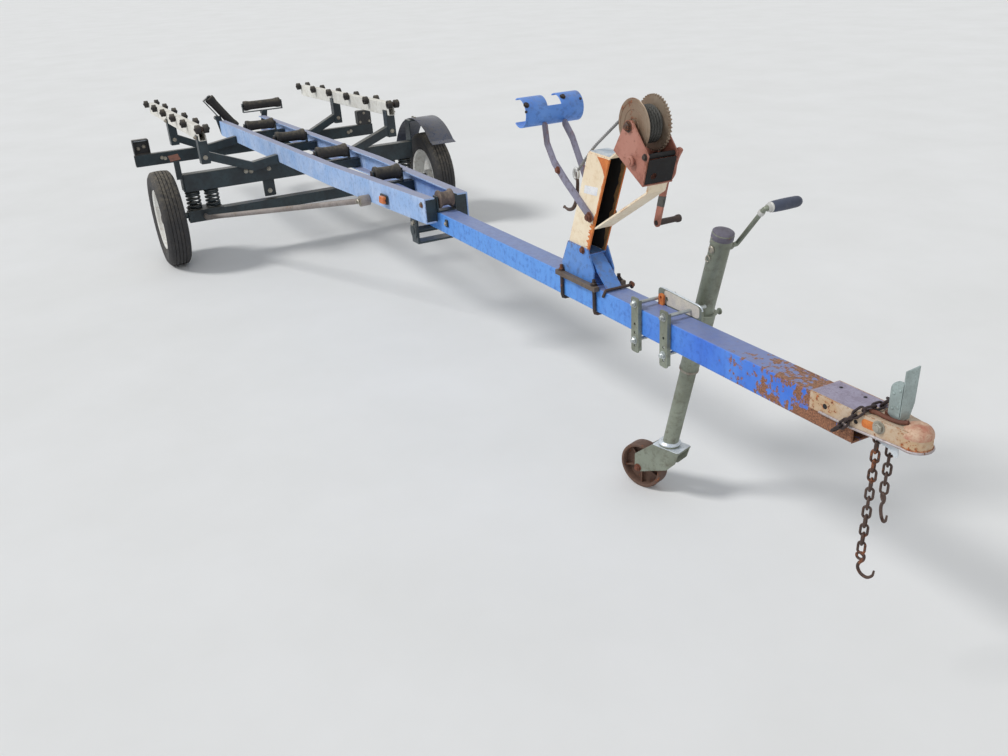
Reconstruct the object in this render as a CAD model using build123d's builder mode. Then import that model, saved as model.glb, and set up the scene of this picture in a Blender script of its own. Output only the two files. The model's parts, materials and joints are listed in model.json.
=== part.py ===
"""Boat trailer, parked nose up on its swivel jack. Millimetres, +X towards the coupler,
+Y to the trailer's left, +Z up, ground at Z = 0 and origin at mid-length."""

import os
from math import acos, atan2, cos, degrees, hypot, radians, sin

from build123d import *

os.makedirs("parts", exist_ok=True)

RIGHT, LEFT = -1, 1
SIDES = {"right": RIGHT, "left": LEFT}

# Running clearances
gap = 0.3
turn_clearance = 6.0
bend_swell = 0.2

# Where the axle stands along the whole trailer, from the origin at mid-length
front_reach = 4388.67
rear_reach = 1802.77
axle_x = (rear_reach - front_reach) / 2

# Wheels: 4.80-12 tyres on 12 inch rims
tyre_radius = 265.0
tyre_width = 124.0
tyre_crown, tyre_bulge = 12.0, 45.0
rim_flange_radius = 166.0
rim_seat_radius = 152.0
rim_width = 104.0
rim_wall = 4.0
track = 1610.0
hub_radius = 36.0
hub_cap_reach = 30.0
wheel_inner_y = track / 2 - tyre_width / 2

# Frame rails: rolled channels, open sides facing each other
nose_up = 3.12
bed_height = 492.0
rail_depth = 101.6
rail_flange = 45.0
rail_web = 5.0
rail_flange_thickness = 7.5
rail_front_x, rail_knee_x, rail_rear_x = 2092.0, 972.0, -1480.0
rail_front_y, rail_knee_y, rail_rear_y = 94.0, 144.0, 164.0

# Tongue: 3 inch square tube
tube_side = 76.2
tube_wall = 4.8
tongue_pitch = 1.75
tongue_top_height = 646.0
tongue_top_x = 2092.0
tongue_front_x = 4226.0

# Cross members under the rails
axle_beam_x, axle_beam_width, axle_beam_depth = -36.0, 76.0, 100.0
axle_beam_half = wheel_inner_y - 53.0
light_bar_x, light_bar_width, light_bar_depth, light_bar_half = -1066.0, 50.0, 75.0, 816.0
beam_wall = 5.0

# Axle and its springs
axle_side = 60.0
axle_centre = 255.0
axle_half = wheel_inner_y - 43.0
spindle_radius, spindle_root, spindle_reach = 17.0, 40.0, 20.0
spring_centres_y = (wheel_inner_y - 198.0, wheel_inner_y - 93.0)
spring_radius = 42.0
spring_wire = 11.0
spring_seat = 8.0
spring_coils = 4
hanger_y, hanger_width, hanger_thickness, hanger_height = 212.0, 68.0, 8.0, 96.0

# Radius rods from the axle's ends to the rails
rod_radius = 13.0
rod_rear_x, rod_rear_y, rod_rear_z = 75.0, wheel_inner_y - 133.0, 254.0
rod_front_x = 1500.0
rod_eye_radius, rod_eye_length, rod_eye_rise = 24.0, 44.0, 10.0

# Keel rollers on short cross channels
roller_radius, roller_waist, roller_pin = 36.0, 29.0, 8.0
roller_bracket_wall = 5.0
roller_side_gap = 6.0
ear_length = 40.0
cross_depth, cross_width, cross_wall = 44.0, 62.0, 5.0
keel_rollers = [
    # name, place along the bed, roller length, whether the tongue carries it
    ("1", 2070.0, 62.0, True),
    ("2", 1430.0, 122.0, False),
    ("3", 610.0, 166.0, False),
    ("4", -200.0, 176.0, False),
    ("5", -960.0, 186.0, False),
]

# Side bunks: box channels that carry roller pairs
bunk_y, bunk_rise = 556.0, 246.0
bunk_width, bunk_depth, bunk_wall = 38.0, 76.0, 4.0
bunk_first_x, bunk_last_x = 118.0, -1768.0
bunk_pairs = 6
bunk_roller_radius, bunk_roller_length = 24.0, 30.0
bunk_overhang = 8.0
bunk_pin = 6.0
bunk_end_reach = 6.0
roller_neck, tongue_of_roller = 10.0, 8.0

# Bent arms and forked uprights under the bunks, heights above the bed
arm_side = 50.0
arm_foot_rise = -5.0
arm_table = [
    # name, beam it is bolted on, knee's distance from the middle, knee's rise, end's rise
    ("front", "axle", 300.0, -28.0, 62.0),
    ("rear", "light", 350.0, -34.0, 52.0),
]
fork_overlap = 30.0
upright_width, upright_thickness = 64.0, 6.0
fork_half = bunk_width / 2 + gap + upright_thickness

# Rear swinging rollers behind the rails' ends
rear_roller_x, rear_roller_rise, rear_roller_y = -1536.0, 175.0, 168.0
rear_roller_length, rear_roller_radius, rear_roller_pin = 265.0, 34.0, 8.0
rear_roller_waist = 29.0
rear_tip = {"right": 55.0, "left": 0.0}
yoke_wall, yoke_width, ear_width = 5.0, 40.0, 34.0
yoke_drop = 18.0
pivot_radius = 9.0

# Fender on the left and the brackets on the beam's ends
fender_radius, fender_wall, fender_width, fender_inner_y = 360.0, 3.0, 150.0, wheel_inner_y - 27.0
fender_front_angle, fender_rear_angle = 46.0, 160.0
fender_lip, fender_lip_drop = 36.0, 12.0
bracket_wall, bracket_seat, bracket_flange = 6.0, 60.0, 70.0
fender_hole_spacing, fender_hole_y, fender_hole_radius = 36.0, axle_beam_half + 24.0, 4.5
bracket_low, bracket_shoulder, bracket_empty_top = 397.0, 500.0, 575.0

# Lamps and markers
lamp_width, lamp_height, lamp_depth = 100.0, 96.0, 52.0
lens_depth, lens_margin = 9.0, 4.0
marker_x, marker_length, marker_height, marker_depth = 1690.0, 76.0, 40.0, 22.0
marker_rise = 22.0

# Strap under the tongue at the rails' front
strap_x, strap_width, strap_wall, strap_room = 1960.0, 64.0, 8.0, 59.0
strap_pin_radius, washer_radius, washer_thickness = 14.0, 32.0, 5.0

# Winch post, its seat and the winch
post_x, post_bottom, post_top = 3127.0, 768.0, 1070.0
post_lean = 21.0
post_length_x, post_width, post_wall = 110.0, 64.0, 4.0
seat_wall, seat_top = 5.0, 785.0
seat_rear_x, seat_front_x = 3042.0, 3222.0
stay_foot_x, stay_width = 3276.0, 50.0
clamp_bolts_x, clamp_bar_length = (3050.0, 3236.0), 216.0
clamp_wall, u_bolt_radius = 7.0, 5.0
drum_x, drum_z = 3415.0, 1178.0
crank_x, crank_z = 3436.0, 1094.0
winch_back, winch_low = (3346.0, 1106.0), (3480.0, 1034.0)
winch_front, winch_head_front, winch_head_rear = (3503.0, 1116.0), (3428.0, 1196.0), (3402.0, 1192.0)
tie_x, tie_z, tie_radius = 3490.0, 1112.0, 6.0
winch_near, winch_far, winch_plate = 52.0, 42.0, 4.0
drum_flange_radius, drum_flange = 70.0, 3.0
drum_half = 34.0
gear_teeth, pinion_teeth, gear_thickness = 44, 10, 8.0
wound_radius = 50.0
drum_core_radius = 24.0
rope_radius = 4.5
shaft_radius = 8.0
mesh_gap = 0.7
crank_reach, crank_hang = 205.0, 104.6
crank_arm_y = 66.0
crank_arm_width, crank_arm_thickness = 24.0, 6.0
crank_grip_length, crank_grip_radius = 75.0, 7.0

brace_width, brace_wall, brace_foot_z, brace_bend = 60.0, 5.0, 856.0, 4.0
brace_drop = (8.0, 22.0)

# Bow stop on its two arms; angles turn clockwise from the front, seen from the right
saddle_x, saddle_z = 2914.0, 1150.0
saddle_radius, saddle_wall, saddle_half, saddle_cup = 44.0, 4.0, 100.0, 76.0
saddle_back_angle, saddle_sweep = -120.0, 250.0
waist_start_angle, waist_sweep = -25.0, 110.0
arm_seat_angle = 46.0
arm_bar_width, arm_bar_thickness = 26.0, 6.0
bow_arm_paths = {
    "right": [(2964.0, 1060.0), (3004.0, 1010.0), (3070.0, 966.0), (3204.0, 888.0)],
    "left": [(2994.0, 1074.0), (3030.0, 1022.0), (3064.0, 972.0), (3204.0, 888.0)],
}

# Rope and its hook
rope_y = -12.0
rope_route = [(3383.1, 1222.6), (3186.0, 1081.5), (3096.0, 996.0)]
rope_edge_radius = 120.0
hook_radius, hook_shank = 5.0, 14.0
hook_path = [(3098.0, 952.0), (3090.0, 908.0), (3068.0, 880.0), (3034.0, 870.0), (3003.0, 874.0)]

# Jack with a caster
jack_y = 122.0
jack_lean = 14.7
jack_foot_x, jack_foot_z = 3408.0, 180.0
jack_tube_radius = 27.5
jack_leg_radius = 24.0
jack_below, jack_above, jack_cap, jack_cap_proud = 186.0, 240.0, 34.0, 2.0
jack_travel, jack_leg_end = 220.0, 20.0
jack_boss_radius, jack_boss_drop, jack_boss_length, jack_hub_radius = 13.0, 15.0, 12.0, 30.0
jack_crank_out, jack_crank_run, jack_crank_rise = 20.0, 104.0, 116.0
jack_crank_radius, jack_grip_radius, jack_grip_length = 6.0, 12.0, 98.0
jack_clamp_x, clamp_length, clamp_bolt_reach = 3519.0, 176.0, 66.0
clamp_strap_width, clamp_bolt_radius = 34.0, 5.0
clamp_above, clamp_below, clamp_near_below, clamp_bolt_rise = 34.0, 30.0, 52.0, 16.0
collar_length, collar_wall, through = 44.0, 7.0, 60.0
caster_turn, caster_trail, caster_radius, caster_width = 18.0, 95.0, 76.0, 46.0
caster_pin, caster_hub, caster_rim, caster_web = 6.0, 17.0, 8.0, 5.0
fork_wall, fork_clearance, race_radius, race_height = 5.0, 6.0, 32.0, 8.0
fork_front, fork_rear = 54.0, -42.0

# Coupler and chains
ball_reach = 128.0
ball_radius = 25.4
coupler_wall, coupler_lap, coupler_depth, coupler_head_radius = 5.0, 120.0, 37.0, 31.0
coupler_nose_half, coupler_rise, coupler_crown = 29.0, 9.0, 22.0
coupler_lip, coupler_lip_height = 2.0, 6.0
latch_foot, latch_width = 24.0, 30.0
latch_foot_length, latch_plate_length, latch_height = 44.0, 24.0, 90.0
link_wire, link_slack = 8.0, 1.0
link_length, link_width = 46.0, 28.0
chain_places = (-22.0, 22.0)
chain_link_counts = (12, 7)
chain_pin_station, chain_pin_drop, chain_pin_radius = 2188.0, 31.0, 5.0


def along(plane, x=0.0, y=0.0, z=0.0, turn=(0, 0, 0)):
    """A plane at a place and turn given in another plane's own coordinates."""
    return Plane(plane.location * Location((x, y, z), turn))


def side_plane(x, y, z, lean=0.0):
    """A plane that faces +Y, x counted from the axle. Its own y runs down, its x forward."""
    turned = radians(lean)
    return Plane(
        origin=(axle_x + x, y, z), x_dir=(cos(turned), 0, -sin(turned)), z_dir=(0, 1, 0)
    )


def save(builder, name):
    builder.part.label = name
    export_step(builder.part, f"parts/{name}.step")


def square_tube(plane, length, width, depth, wall):
    """A hollow beam along a plane's normal, width along its x and depth along its y."""
    with BuildSketch(plane) as section:
        Rectangle(width, depth)
        Rectangle(width - 2 * wall, depth - 2 * wall, mode=Mode.SUBTRACT)
    extrude(section.sketch, amount=length)


def block(plane, width, depth, height, mode=Mode.ADD):
    """A block standing on a plane, width along its x and depth along its y."""
    with BuildSketch(plane) as section:
        Rectangle(width, depth)
    extrude(section.sketch, amount=height, mode=mode)


def rod(plane, radius, length, mode=Mode.ADD):
    """A round bar standing on a plane."""
    with BuildSketch(plane) as section:
        Circle(radius)
    extrude(section.sketch, amount=length, mode=mode)


def rod_between(start, end, radius):
    """A round bar between two world points."""
    direction = Vector(*end) - Vector(*start)
    rod(Plane(origin=start, z_dir=direction), radius, direction.length)


def bent_rod(points, radius):
    """A round bar along a line of world points, with ball joints at its bends."""
    for start, end in zip(points, points[1:]):
        rod_between(start, end, radius)
    for point in points[1:-1]:
        with Locations(Location(point)):
            Sphere(radius + bend_swell)


def strip(plane, path, height, width):
    """A bent flat bar: a path in a plane, its own thickness there, and its width across."""
    with BuildSketch(plane) as section:
        for (x0, z0), (x1, z1) in zip(path, path[1:]):
            middle = ((x0 + x1) / 2, -(z0 + z1) / 2, 0)
            lean = -degrees(atan2(z1 - z0, x1 - x0))
            with Locations(Location(middle, (0, 0, lean))):
                SlotCenterToCenter(hypot(x1 - x0, z1 - z0), height)
    extrude(section.sketch, amount=width)


def turned(plane, outline):
    """A ring turned about a plane's own z, from corners given as radius and height."""
    profile = Plane(origin=plane.origin, x_dir=plane.x_dir, z_dir=-plane.y_dir)
    with BuildSketch(profile) as section:
        Polygon(*outline, align=None)
    revolve(section.sketch, axis=Axis(plane.origin, plane.z_dir))


def plate(plane, corners, thickness, mode=Mode.ADD):
    """A flat plate from the corners of its outline."""
    with BuildSketch(plane) as section:
        Polygon(*corners, align=None)
    extrude(section.sketch, amount=thickness, mode=mode)


pitch = radians(nose_up)
bed = Plane(
    origin=(axle_x, 0, bed_height),
    x_dir=(cos(pitch), 0, sin(pitch)),
    z_dir=(-sin(pitch), 0, cos(pitch)),
)
tongue_slope = radians(tongue_pitch)
tongue_line = Plane(
    origin=(axle_x + tongue_top_x, 0, tongue_top_height),
    x_dir=(cos(tongue_slope), 0, sin(tongue_slope)),
    z_dir=(-sin(tongue_slope), 0, cos(tongue_slope)),
)


def across(plane, x, y, z):
    """A plane facing +Y at a place in another plane's coordinates."""
    return Plane(origin=along(plane, x, y, z).origin, x_dir=plane.x_dir, z_dir=(0, 1, 0))


def tongue_height(x):
    """World height of the tongue's top over a place counted from the axle."""
    return tongue_top_height + (x - tongue_top_x) * sin(tongue_slope) / cos(tongue_slope)


def rail_outer_y(x):
    """Half the frame's outer width at a station along the bed."""
    if x > rail_knee_x:
        share = (x - rail_knee_x) / (rail_front_x - rail_knee_x)
        return rail_knee_y + (rail_front_y - rail_knee_y) * share
    share = (x - rail_rear_x) / (rail_knee_x - rail_rear_x)
    return rail_rear_y + (rail_knee_y - rail_rear_y) * share


def rail_band(side, width):
    """The plan of a rail's strip of one width, from its outer face inward."""
    stations = (rail_front_x, rail_knee_x, rail_rear_x)
    outer = [(x, side * rail_outer_y(x)) for x in stations]
    inner = [(x, side * (rail_outer_y(x) - width)) for x in reversed(stations)]
    return outer + inner


# Frame rails
for side_name, side in SIDES.items():
    with BuildPart() as rail:
        top_start = rail_depth - rail_flange_thickness
        for low, high, width in (
            (0, rail_flange_thickness, rail_flange),
            (rail_flange_thickness, top_start, rail_web),
            (top_start, rail_depth, rail_flange),
        ):
            plate(along(bed, z=low), rail_band(side, width), high - low)
    save(rail, f"{side_name}_rail")

# Tongue tube, from the second cross channel to the coupler
cross_top = rail_depth - roller_radius - turn_clearance - roller_bracket_wall
second_cross = along(bed, keel_rollers[1][1] + cross_width / 2, 0, cross_top - cross_depth)
tongue_rear = tongue_line.to_local_coords(second_cross.origin).X + gap
tongue_front = (tongue_front_x - tongue_top_x) / cos(tongue_slope)
ball_station = tongue_front + ball_reach
with BuildPart() as tongue:
    start = along(tongue_line, x=tongue_rear, z=-tube_side / 2).origin
    section_plane = Plane(origin=start, x_dir=(0, 1, 0), z_dir=tongue_line.x_dir)
    square_tube(section_plane, tongue_front - tongue_rear, tube_side, tube_side, tube_wall)
save(tongue, "tongue")

# Beam over the axle, with its hangers
with BuildPart() as axle_crossmember:
    square_tube(
        across(bed, axle_beam_x, -axle_beam_half, -axle_beam_depth / 2),
        2 * axle_beam_half, axle_beam_width, axle_beam_depth, beam_wall,
    )
    for side in SIDES.values():
        hanger = along(bed, axle_beam_x, side * hanger_y, -axle_beam_depth)
        block(hanger, hanger_thickness, hanger_width, -hanger_height)
save(axle_crossmember, "axle_crossmember")

# Light bar across the rear
with BuildPart() as light_bar:
    square_tube(
        across(bed, light_bar_x, -light_bar_half, -light_bar_depth / 2),
        2 * light_bar_half, light_bar_width, light_bar_depth, beam_wall,
    )
save(light_bar, "light_bar")

# Short channels between the rails
with BuildPart() as roller_crossmembers:
    for _, x, _, on_tongue in keel_rollers:
        if on_tongue:
            continue
        front, rear = x + cross_width / 2, x - cross_width / 2
        front_y = rail_outer_y(front) - rail_web
        rear_y = rail_outer_y(rear) - rail_web
        corners = [(front, -front_y), (front, front_y), (rear, rear_y), (rear, -rear_y)]
        bottom = along(bed, z=cross_top - cross_depth)
        plate(bottom, corners, cross_depth)
        hollow = along(bed, x=x, z=cross_top - cross_depth)
        inside = cross_width - 2 * cross_wall
        block(hollow, inside, 4 * front_y, cross_depth - cross_wall, mode=Mode.SUBTRACT)
save(roller_crossmembers, "roller_crossmembers")


def roller_plane(x, on_tongue):
    """The plane on a keel roller's axis, level with the bed or the tongue."""
    if on_tongue:
        rise = roller_radius + turn_clearance + roller_bracket_wall
        return along(tongue_line, x=(x - tongue_top_x) / cos(tongue_slope), z=rise)
    return along(bed, x=x, z=rail_depth)


# Brackets and pins of the keel rollers
with BuildPart() as keel_roller_brackets:
    for _, x, length, on_tongue in keel_rollers:
        here = roller_plane(x, on_tongue)
        inside = length / 2 + roller_side_gap
        floor = roller_radius + turn_clearance
        outer = inside + roller_bracket_wall
        block(along(here, z=-floor - roller_bracket_wall), ear_length, 2 * outer, roller_bracket_wall)
        for side in SIDES.values():
            ear = along(here, y=side * (inside + roller_bracket_wall / 2), z=-floor)
            block(ear, ear_length, roller_bracket_wall, floor + 2 * roller_pin)
        rod(across(here, 0, -outer - 4, 0), roller_pin, 2 * (outer + 4))
save(keel_roller_brackets, "keel_roller_brackets")


def roller_outline(length, radius, waist, bore):
    """Half section of a waisted roller, radius by height, its middle at height 0."""
    half = length / 2
    return [
        (bore, -half), (radius, -half), (radius, -0.72 * half), (waist, -0.4 * half),
        (waist, 0.4 * half), (radius, 0.72 * half), (radius, half), (bore, half),
    ]


for name, x, length, on_tongue in keel_rollers:
    with BuildPart() as roller:
        outline = roller_outline(length, roller_radius, roller_waist, roller_pin + gap)
        turned(across(roller_plane(x, on_tongue), 0, 0, 0), outline)
    save(roller, f"keel_roller_{name}")

# Axle beam with its spindles and spring seats
seat_length = spring_centres_y[1] - spring_centres_y[0] + 2 * spring_radius
seat_y = sum(spring_centres_y) / 2
axle_top = axle_centre + axle_side / 2
spindle_end = track / 2 + spindle_reach
with BuildPart() as axle:
    square_tube(side_plane(0, -axle_half, axle_centre), 2 * axle_half, axle_side, axle_side, beam_wall)
    for side in SIDES.values():
        inner = axle_half - spindle_root
        spindle = Plane(origin=(axle_x, side * inner, tyre_radius), z_dir=(0, side, 0))
        rod(spindle, spindle_radius, spindle_end - inner)
        seat = Plane((axle_x + axle_beam_x / 2, side * seat_y, axle_top))
        block(seat, 2 * spring_radius + abs(axle_beam_x), seat_length, spring_seat)
save(axle, "axle")

# Coil springs between the seats and the beam, as corrugated sleeves
with BuildPart() as coil_springs:
    for side in SIDES.values():
        for y in spring_centres_y:
            spring_low = axle_top + spring_seat
            beam_under = along(bed, axle_beam_x, 0, -axle_beam_depth).origin
            lowest = beam_under.Z - spring_radius * sin(pitch)
            height = lowest - spring_low
            pitch_step = height / (2 * spring_coils)
            outline = [(spring_radius - spring_wire, 0)]
            for step in range(2 * spring_coils + 1):
                radius = spring_radius if step % 2 == 0 else spring_radius - 0.45 * spring_wire
                outline.append((radius, step * pitch_step))
            outline.append((spring_radius - spring_wire, height))
            turned(Plane((axle_x + axle_beam_x, side * y, spring_low)), outline)
save(coil_springs, "coil_springs")

# Radius rods to the rails' lower edges
with BuildPart() as radius_rods:
    for side in SIDES.values():
        face_y = rail_outer_y(rod_front_x - rod_eye_radius) + gap
        eye = along(bed, rod_front_x, side * (face_y + rod_eye_length / 2), rod_eye_rise)
        elbow = (axle_x + rod_rear_x, side * rod_rear_y, rod_rear_z)
        start = (axle_x + axle_side / 2, elbow[1], elbow[2])
        bent_rod([start, elbow, tuple(eye.origin)], rod_radius)
        barrel = along(bed, rod_front_x, side * face_y, rod_eye_rise)
        rod(Plane(origin=barrel.origin, x_dir=bed.x_dir, z_dir=(0, side, 0)), rod_eye_radius, rod_eye_length)
save(radius_rods, "radius_rods")

# Wheels
for side_name, side in SIDES.items():
    wheel = Plane(origin=(axle_x, side * track / 2, tyre_radius), z_dir=(0, side, 0), x_dir=(1, 0, 0))
    half = tyre_width / 2
    rim_half = rim_width / 2
    with BuildPart() as tyre:
        shoulder, bulge = tyre_radius - tyre_crown, tyre_radius - tyre_bulge
        tyre_outline = [
            (rim_flange_radius + gap, -half * 0.8), (bulge, -half), (shoulder, -half * 0.88),
            (tyre_radius, -half * 0.62), (tyre_radius, half * 0.62), (shoulder, half * 0.88),
            (bulge, half), (rim_flange_radius + gap, half * 0.8),
            (rim_flange_radius + gap, half * 0.8 - 14.0), (rim_flange_radius + gap, -half * 0.8 + 14.0),
        ]
        turned(wheel, tyre_outline)
    save(tyre, f"{side_name}_tyre")
    with BuildPart() as rim:
        bore = spindle_radius + gap
        disc = 12.0
        rim_outline = [
            (bore, -34.0), (hub_radius, -34.0), (hub_radius, disc - rim_wall),
            (rim_seat_radius - 20, disc - rim_wall), (rim_seat_radius - rim_wall, -rim_half * 0.4),
            (rim_seat_radius - rim_wall, -rim_half), (rim_flange_radius, -rim_half),
            (rim_flange_radius, -rim_half + rim_wall), (rim_seat_radius, -rim_half + rim_wall),
            (rim_seat_radius, rim_half - rim_wall), (rim_flange_radius, rim_half - rim_wall),
            (rim_flange_radius, rim_half), (rim_seat_radius - rim_wall, rim_half),
            (rim_seat_radius - rim_wall, rim_half * 0.5), (rim_seat_radius - 20, disc),
            (hub_radius, disc), (hub_radius * 0.8, disc + hub_cap_reach), (0.0, disc + hub_cap_reach),
            (0.0, 22.0), (bore, 22.0),
        ]
        turned(wheel, rim_outline)
    save(rim, f"{side_name}_rim")

# Left fender over its wheel; the right one is missing
def fender_point(angle, radius):
    """A place on the fender's curve about the wheel's centre, in a plane that faces +Y."""
    return (radius * cos(radians(angle)), -radius * sin(radians(angle)))


fender_inner_radius = fender_radius - fender_wall
fender_middle = (fender_front_angle + fender_rear_angle) / 2
with BuildPart() as left_fender:
    with BuildSketch(side_plane(0, fender_inner_y, tyre_radius)) as section:
        with BuildLine():
            outer = ThreePointArc(
                fender_point(fender_front_angle, fender_radius),
                fender_point(fender_middle, fender_radius),
                fender_point(fender_rear_angle, fender_radius),
            )
            Line(outer @ 1, fender_point(fender_rear_angle, fender_inner_radius))
            inner = ThreePointArc(
                fender_point(fender_rear_angle, fender_inner_radius),
                fender_point(fender_middle, fender_inner_radius),
                fender_point(fender_front_angle, fender_inner_radius),
            )
            lip_start = inner @ 1
            lip_end = (lip_start.X + fender_lip, lip_start.Y + fender_lip_drop)
            Line(lip_start, lip_end)
            Line(lip_end, (lip_end[0] + 1.0, lip_end[1] - fender_wall))
            Line((lip_end[0] + 1.0, lip_end[1] - fender_wall), outer @ 0)
        make_face()
    extrude(section.sketch, amount=fender_width)
save(left_fender, "left_fender")

# Plates on the ends of the beam; the left one carries the fender
with BuildPart() as fender_brackets:
    seat_low_x = axle_beam_x - bracket_seat / 2
    seat_height = tyre_radius + fender_inner_radius * sin(
        acos(abs(seat_low_x) / fender_inner_radius)
    )
    for side in SIDES.values():
        low_y = side * (axle_beam_half + bracket_wall / 2) - bracket_wall / 2
        face = side_plane(axle_beam_x, low_y, 0)
        half = axle_beam_width / 2
        top = seat_height - gap if side == LEFT else bracket_empty_top
        corners = [(-half, -bracket_low), (half, -bracket_low), (half, -bracket_shoulder),
                   (bracket_seat / 2, -top), (-bracket_seat / 2, -top), (-half, -bracket_shoulder)]
        plate(face, corners, bracket_wall)
        reach = bracket_flange if side == LEFT else bracket_flange / 2
        flange_y = side * (axle_beam_half + reach / 2)
        flange = Plane((axle_x + axle_beam_x, flange_y, top - bracket_wall))
        block(flange, bracket_seat, reach, bracket_wall)
        for x in (-fender_hole_spacing / 2, fender_hole_spacing / 2):
            hole = Plane((axle_x + axle_beam_x + x, side * fender_hole_y, top - 2 * bracket_wall))
            if side == RIGHT:
                rod(hole, fender_hole_radius, 3 * bracket_wall, mode=Mode.SUBTRACT)
save(fender_brackets, "fender_brackets")

# Side bunks: box channels with a roller pair at each station
bunk_end_x = bunk_last_x - bunk_end_reach
bunk_length = bunk_first_x - bunk_end_x - bunk_roller_radius - turn_clearance
bunk_step = (bunk_first_x - bunk_last_x) / (bunk_pairs - 1)
bunk_stations_x = [bunk_last_x + bunk_step * pair for pair in range(bunk_pairs)]
bunk_under = bunk_rise + bunk_overhang - bunk_depth
for side_name, side in SIDES.items():
    with BuildPart() as bunk:
        middle = along(bed, bunk_end_x, side * bunk_y, bunk_under + bunk_depth / 2)
        section_plane = Plane(origin=middle.origin, x_dir=(0, 1, 0), z_dir=bed.x_dir)
        square_tube(section_plane, bunk_length, bunk_width, bunk_depth, bunk_wall)
    save(bunk, f"{side_name}_bunk")

with BuildPart() as bunk_rollers:
    for side in SIDES.values():
        for x in bunk_stations_x:
            at_end = x == bunk_stations_x[-1]
            for flank in SIDES.values():
                inner = roller_neck / 2 if at_end else bunk_width / 2
                start = along(bed, x, side * bunk_y + flank * inner, bunk_rise)
                axis = Plane(origin=start.origin, z_dir=(0, flank, 0))
                rod(axis, bunk_pin, bunk_roller_length + 6)
                rod(along(axis, z=2.0), bunk_roller_radius, bunk_roller_length)
            if at_end:
                middle = across(bed, x, side * bunk_y - roller_neck / 2 - 1, bunk_rise)
                rod(middle, bunk_pin, roller_neck + 2)
                foot = bunk_end_x + bunk_length
                face = across(bed, foot, side * bunk_y - tongue_of_roller / 2, bunk_rise)
                block(
                    along(face, x=(x - foot) / 2), x - foot, 2 * bunk_pin, tongue_of_roller
                )
save(bunk_rollers, "bunk_rollers")

# Bent arms with forked uprights that carry the bunks
beam_fronts = {
    "axle": axle_beam_x + axle_beam_width / 2,
    "light": light_bar_x + light_bar_width / 2,
}
for arm_name, beam, knee_y, knee_rise, top in arm_table:
    x = beam_fronts[beam] + arm_side / 2
    foot_y = rail_outer_y(beam_fronts[beam]) + gap
    with BuildPart() as arms:
        for side in SIDES.values():
            start = along(bed, x=x + side * arm_side / 2).origin
            face = Plane(origin=start, x_dir=(0, side, 0), z_dir=-side * bed.x_dir)
            end_y = bunk_y - fork_half
            low_line = [(foot_y, arm_foot_rise), (knee_y, knee_rise), (end_y, top)]
            corners = [(y, -rise) for y, rise in low_line]
            corners += [(y, -rise - arm_side) for y, rise in reversed(low_line)]
            plate(face, corners, arm_side)
            fork_low = top - 12.0
            fork_height = bunk_under + fork_overlap - fork_low
            middle = along(bed, x=x, y=side * bunk_y, z=fork_low)
            block(middle, upright_width, 2 * fork_half, upright_thickness)
            web = along(middle, x=(upright_width - upright_thickness) / 2)
            block(web, upright_thickness, 2 * fork_half, bunk_under - gap - fork_low)
            for flank in SIDES.values():
                wall_y = side * bunk_y + flank * (fork_half - upright_thickness / 2)
                block(
                    along(bed, x=x, y=wall_y, z=fork_low), upright_width, upright_thickness,
                    fork_height,
                )
    save(arms, f"{arm_name}_bunk_arms")

# Rear posts, swinging yokes and rollers
yoke_floor = rear_roller_radius + turn_clearance
pivot_rise = rear_roller_rise - yoke_floor - yoke_drop
stem_length, stem_half = 10.0, 20.0
with BuildPart() as rear_roller_posts:
    for side in SIDES.values():
        post_y = side * rear_roller_y
        stem_top = pivot_rise + 2 * pivot_radius
        outer = rail_outer_y(rail_rear_x)
        stem = Plane(origin=along(bed, rail_rear_x).origin, x_dir=(0, side, 0), z_dir=-side * bed.x_dir)
        if side == RIGHT:
            stem = along(stem, z=-stem_length)
        corners = [
            (outer - rail_flange, -rail_flange_thickness), (outer, -rail_flange_thickness),
            (rear_roller_y + stem_half, -stem_top), (rear_roller_y - stem_half, -stem_top),
        ]
        plate(stem, corners, stem_length)
        pin = Plane(
            origin=along(bed, rear_roller_x - yoke_width / 2 - turn_clearance, post_y, pivot_rise).origin,
            z_dir=bed.x_dir,
        )
        reach = rail_rear_x - rear_roller_x + yoke_width / 2 + turn_clearance - stem_length / 2
        rod(pin, pivot_radius, reach)
save(rear_roller_posts, "rear_roller_posts")

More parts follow.
